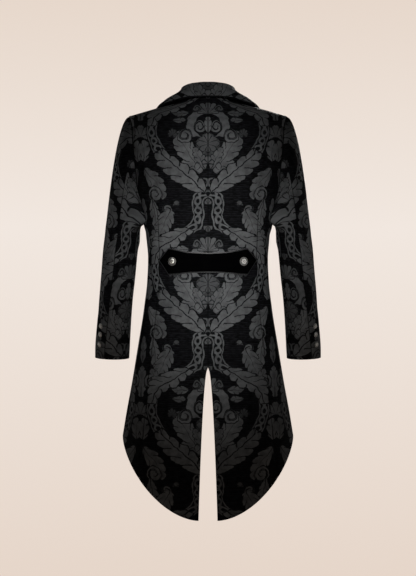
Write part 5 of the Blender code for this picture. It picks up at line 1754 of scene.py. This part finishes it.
# %% Lining, velvet and satin
def plain_cloth(name, dark, light, rough, gloss, thread, strength, sheen, sheen_rough, sheen_tint):
    """Two near colours in soft patches, crossed threads as bump, and the given sheen."""
    material, tree, shader = finish_start(name)
    patches = patches_of(tree, 26.0)
    tree.links.new(mixed(tree, patches, dark, light).socket, shader.inputs["Base Color"])
    tree.links.new(patches.times_plus(0.12, rough).socket, shader.inputs["Roughness"])
    weave = out_of(placed(tree, threads, Cloth=cloth_of(tree), Per_Metre=thread), "Height")
    bumped(tree, shader, weave, strength)
    shader.inputs["Sheen Weight"].default_value = sheen
    shader.inputs["Sheen Roughness"].default_value = sheen_rough
    shader.inputs["Sheen Tint"].default_value = (*sheen_tint, 1.0)
    shader.inputs["Specular IOR Level"].default_value = gloss
    return material


lining = plain_cloth(
    "lining", (0.006, 0.006, 0.0065), (0.012, 0.012, 0.013), rough=0.42, gloss=0.3, thread=1800.0,
    strength=0.2, sheen=0.03, sheen_rough=0.4, sheen_tint=(0.5, 0.5, 0.5),
)
velvet = plain_cloth(
    "velvet", (0.0002, 0.0002, 0.0003), (0.0007, 0.0007, 0.0008), rough=0.86, gloss=0.004, thread=900.0,
    strength=0.5, sheen=0.004, sheen_rough=0.3, sheen_tint=(0.3, 0.3, 0.33),
)
satin = plain_cloth(
    "satin", (0.0030, 0.0030, 0.0034), (0.006, 0.006, 0.007), rough=0.34, gloss=0.2, thread=2400.0,
    strength=0.2, sheen=0.01, sheen_rough=0.4, sheen_tint=(0.5, 0.5, 0.5),
)
print("plain cloths:", lining.name, velvet.name, satin.name)


# %% Tarnished silver
TARNISH, BRIGHT = (0.012, 0.012, 0.011), (0.74, 0.73, 0.70)


def silver_finish(name, metal, gain, least):
    """Bright where relief gain + least is high, dark tarnish in its hollows, and wear scratches."""
    material, tree, shader = finish_start(name)
    polish = attribute(tree, "relief").ramp(gain, least) * patches_of(tree, 700.0, low=0.55)
    tree.links.new(mixed(tree, polish, TARNISH, BRIGHT).socket, shader.inputs["Base Color"])
    tree.links.new(polish.times_plus(-0.34, 0.58).socket, shader.inputs["Roughness"])
    bumped(tree, shader, patches_of(tree, 2400.0), 0.12, SCRATCH_DEPTH)
    shader.inputs["Metallic"].default_value = metal
    return material


silver = silver_finish("silver", metal=1.0, gain=12.0, least=0.0)
rubbed_silver = silver_finish("rubbed_silver", metal=0.30, gain=18.0, least=0.12)
FACES = {
    "belt_satin": (satin, satin),
    "belt_velvet": (velvet, satin),
    "collar_cloth": (damask_edged, lining),
    "lapel_cloth_right": (damask_edged, lining),
    "lapel_cloth_left": (damask_edged, lining),
}
for name, piece in pieces.items():
    for finish in FACES.get(name, (damask_cloth, lining)):
        piece.thing.data.materials.append(finish)
for thing in silver_buttons:
    thing.data.materials.append(rubbed_silver if "cuff" in thing.name else silver)
print("finishes:", sorted(m.name for m in bpy.data.materials if m.users))

# %% [markdown]
# ## Camera, light and floor
# The coat is seen square from behind, from about five metres with a long lens, so that both
# halves match. A tall narrow light falls down the middle of the back, and a broader one across
# the sleeves and the seat. Weaker ones rim the sides and fill the front. The backdrop is a
# plain warm white, with a pale floor below the coat.

# %% Camera
VIEW_DISTANCE, VIEW_LEVEL = 4.992, -0.4888
LENS, SENSOR = 120, 36
camera_data = bpy.data.cameras.new("view_from_behind")
camera_data.lens = LENS
camera_data.sensor_fit = "VERTICAL"
camera_data.sensor_height = SENSOR
camera = bpy.data.objects.new("view_from_behind", camera_data)
bpy.context.scene.collection.objects.link(camera)
camera.location = (0.0, -VIEW_DISTANCE, VIEW_LEVEL)
camera.rotation_euler = (math.radians(90), 0.0, 0.0)
bpy.context.scene.camera = camera
print("the picture is %.2f m high at the coat" % (SENSOR / LENS * VIEW_DISTANCE))


# %% Lights
KEY_WHITE = (1.0, 0.985, 0.97)


def aimed(lamp, at, towards):
    """Moves a lamp to a place and turns its beam, which leaves along -Z, to a point."""
    direction = np.array(towards, float) - np.array(at, float)
    tilt = math.atan2(math.hypot(direction[0], direction[1]), -direction[2])
    turn = math.atan2(direction[1], direction[0]) - math.pi / 2
    lamp.location = at
    lamp.rotation_euler = (tilt, 0.0, turn)
    bpy.context.scene.collection.objects.link(lamp)
    return lamp


def soft_light(name, at, towards, size, power, spread=180):
    """A rectangular area light: size in metres, power in watts, its beam's spread in degrees."""
    data = bpy.data.lights.new(name, "AREA")
    data.shape = "RECTANGLE"
    data.size, data.size_y = size
    data.energy = power
    data.color = KEY_WHITE
    data.spread = math.radians(spread)
    return aimed(bpy.data.objects.new(name, data), at, towards)


soft_light("key", (0.0, -3.3, 0.45), (0.0, -0.1, -0.37), (0.08, 0.78), 0.50, spread=8)
soft_light("behind", (0.0, -3.0, 0.5), (0.0, 0.0, -0.42), (0.55, 0.26), 0.45, spread=11)
for side, hand in HANDS:
    soft_light(f"side_{hand}", (side * 2.5, 1.3, 0.3), (0.0, 0.0, -0.45), (0.9, 1.6), 9.0)
soft_light("front", (0.5, 2.9, 0.4), (0.0, 0.0, -0.4), (1.2, 1.2), 62.0)

# %% Backdrop colour
BACKDROP_TOP = (0.790, 0.675, 0.590)
BACKDROP_MIDDLE = (0.880, 0.800, 0.740)
BACKDROP_FOOT = (0.785, 0.665, 0.580)
WORLD_FILL = 0.034


def backdrop():
    """World colour by the height of the view direction: top, middle and foot colours in a ramp."""
    world = bpy.data.worlds.new("warm_white")
    bpy.context.scene.world = world
    world.use_nodes = True
    tree = world.node_tree
    back = tree.nodes["Background"]
    direction = out_of(tree.nodes.new("ShaderNodeTexCoord"), "Generated")
    level = parts_of(direction)[2].ramp(3.2, 0.5)
    ramp = tree.nodes.new("ShaderNodeValToRGB")
    ramp.color_ramp.elements[0].color = (*BACKDROP_FOOT, 1.0)
    ramp.color_ramp.elements[1].color = (*BACKDROP_TOP, 1.0)
    middle = ramp.color_ramp.elements.new(0.6)
    middle.color = (*BACKDROP_MIDDLE, 1.0)
    tree.links.new(level.socket, ramp.inputs["Fac"])
    tree.links.new(ramp.outputs["Color"], back.inputs["Color"])
    seen = Wire(tree, tree.nodes.new("ShaderNodeLightPath").outputs["Is Camera Ray"])
    tree.links.new(seen.times_plus(1.0 - WORLD_FILL, WORLD_FILL).socket, back.inputs["Strength"])
    return world


bpy.context.scene.view_settings.view_transform = "Standard"
print("backdrop:", backdrop().name)


# %% Floor
def floor(radius=1.15, level=-1.46, segments=96):
    """A flat disc: rings of points r (cos a, sin a) at one level."""
    around = np.linspace(0, 2 * math.pi, segments, endpoint=False)
    rim = np.stack([radius * np.cos(around), radius * np.sin(around), level + 0 * around], axis=-1)
    vertices = np.concatenate([[(0.0, 0.0, level)], rim])
    number = np.arange(segments)
    faces = np.stack([0 * number, 1 + number, 1 + (number + 1) % segments], axis=-1)
    mesh = bpy.data.meshes.new("floor")
    mesh.from_pydata(vertices.tolist(), [], faces.tolist())
    thing = bpy.data.objects.new("floor", mesh)
    bpy.context.scene.collection.objects.link(thing)
    material, tree, shader = finish_start("pale_floor")
    pale = mixed(tree, patches_of(tree, 3.0), (0.72, 0.62, 0.54), (0.75, 0.65, 0.57))
    tree.links.new(pale.socket, shader.inputs["Base Color"])
    tree.links.new(pale.socket, shader.inputs["Emission Color"])
    shader.inputs["Emission Strength"].default_value = 0.55
    shader.inputs["Roughness"].default_value = 0.8
    mesh.materials.append(material)
    return thing


print("below the coat:", floor().name)
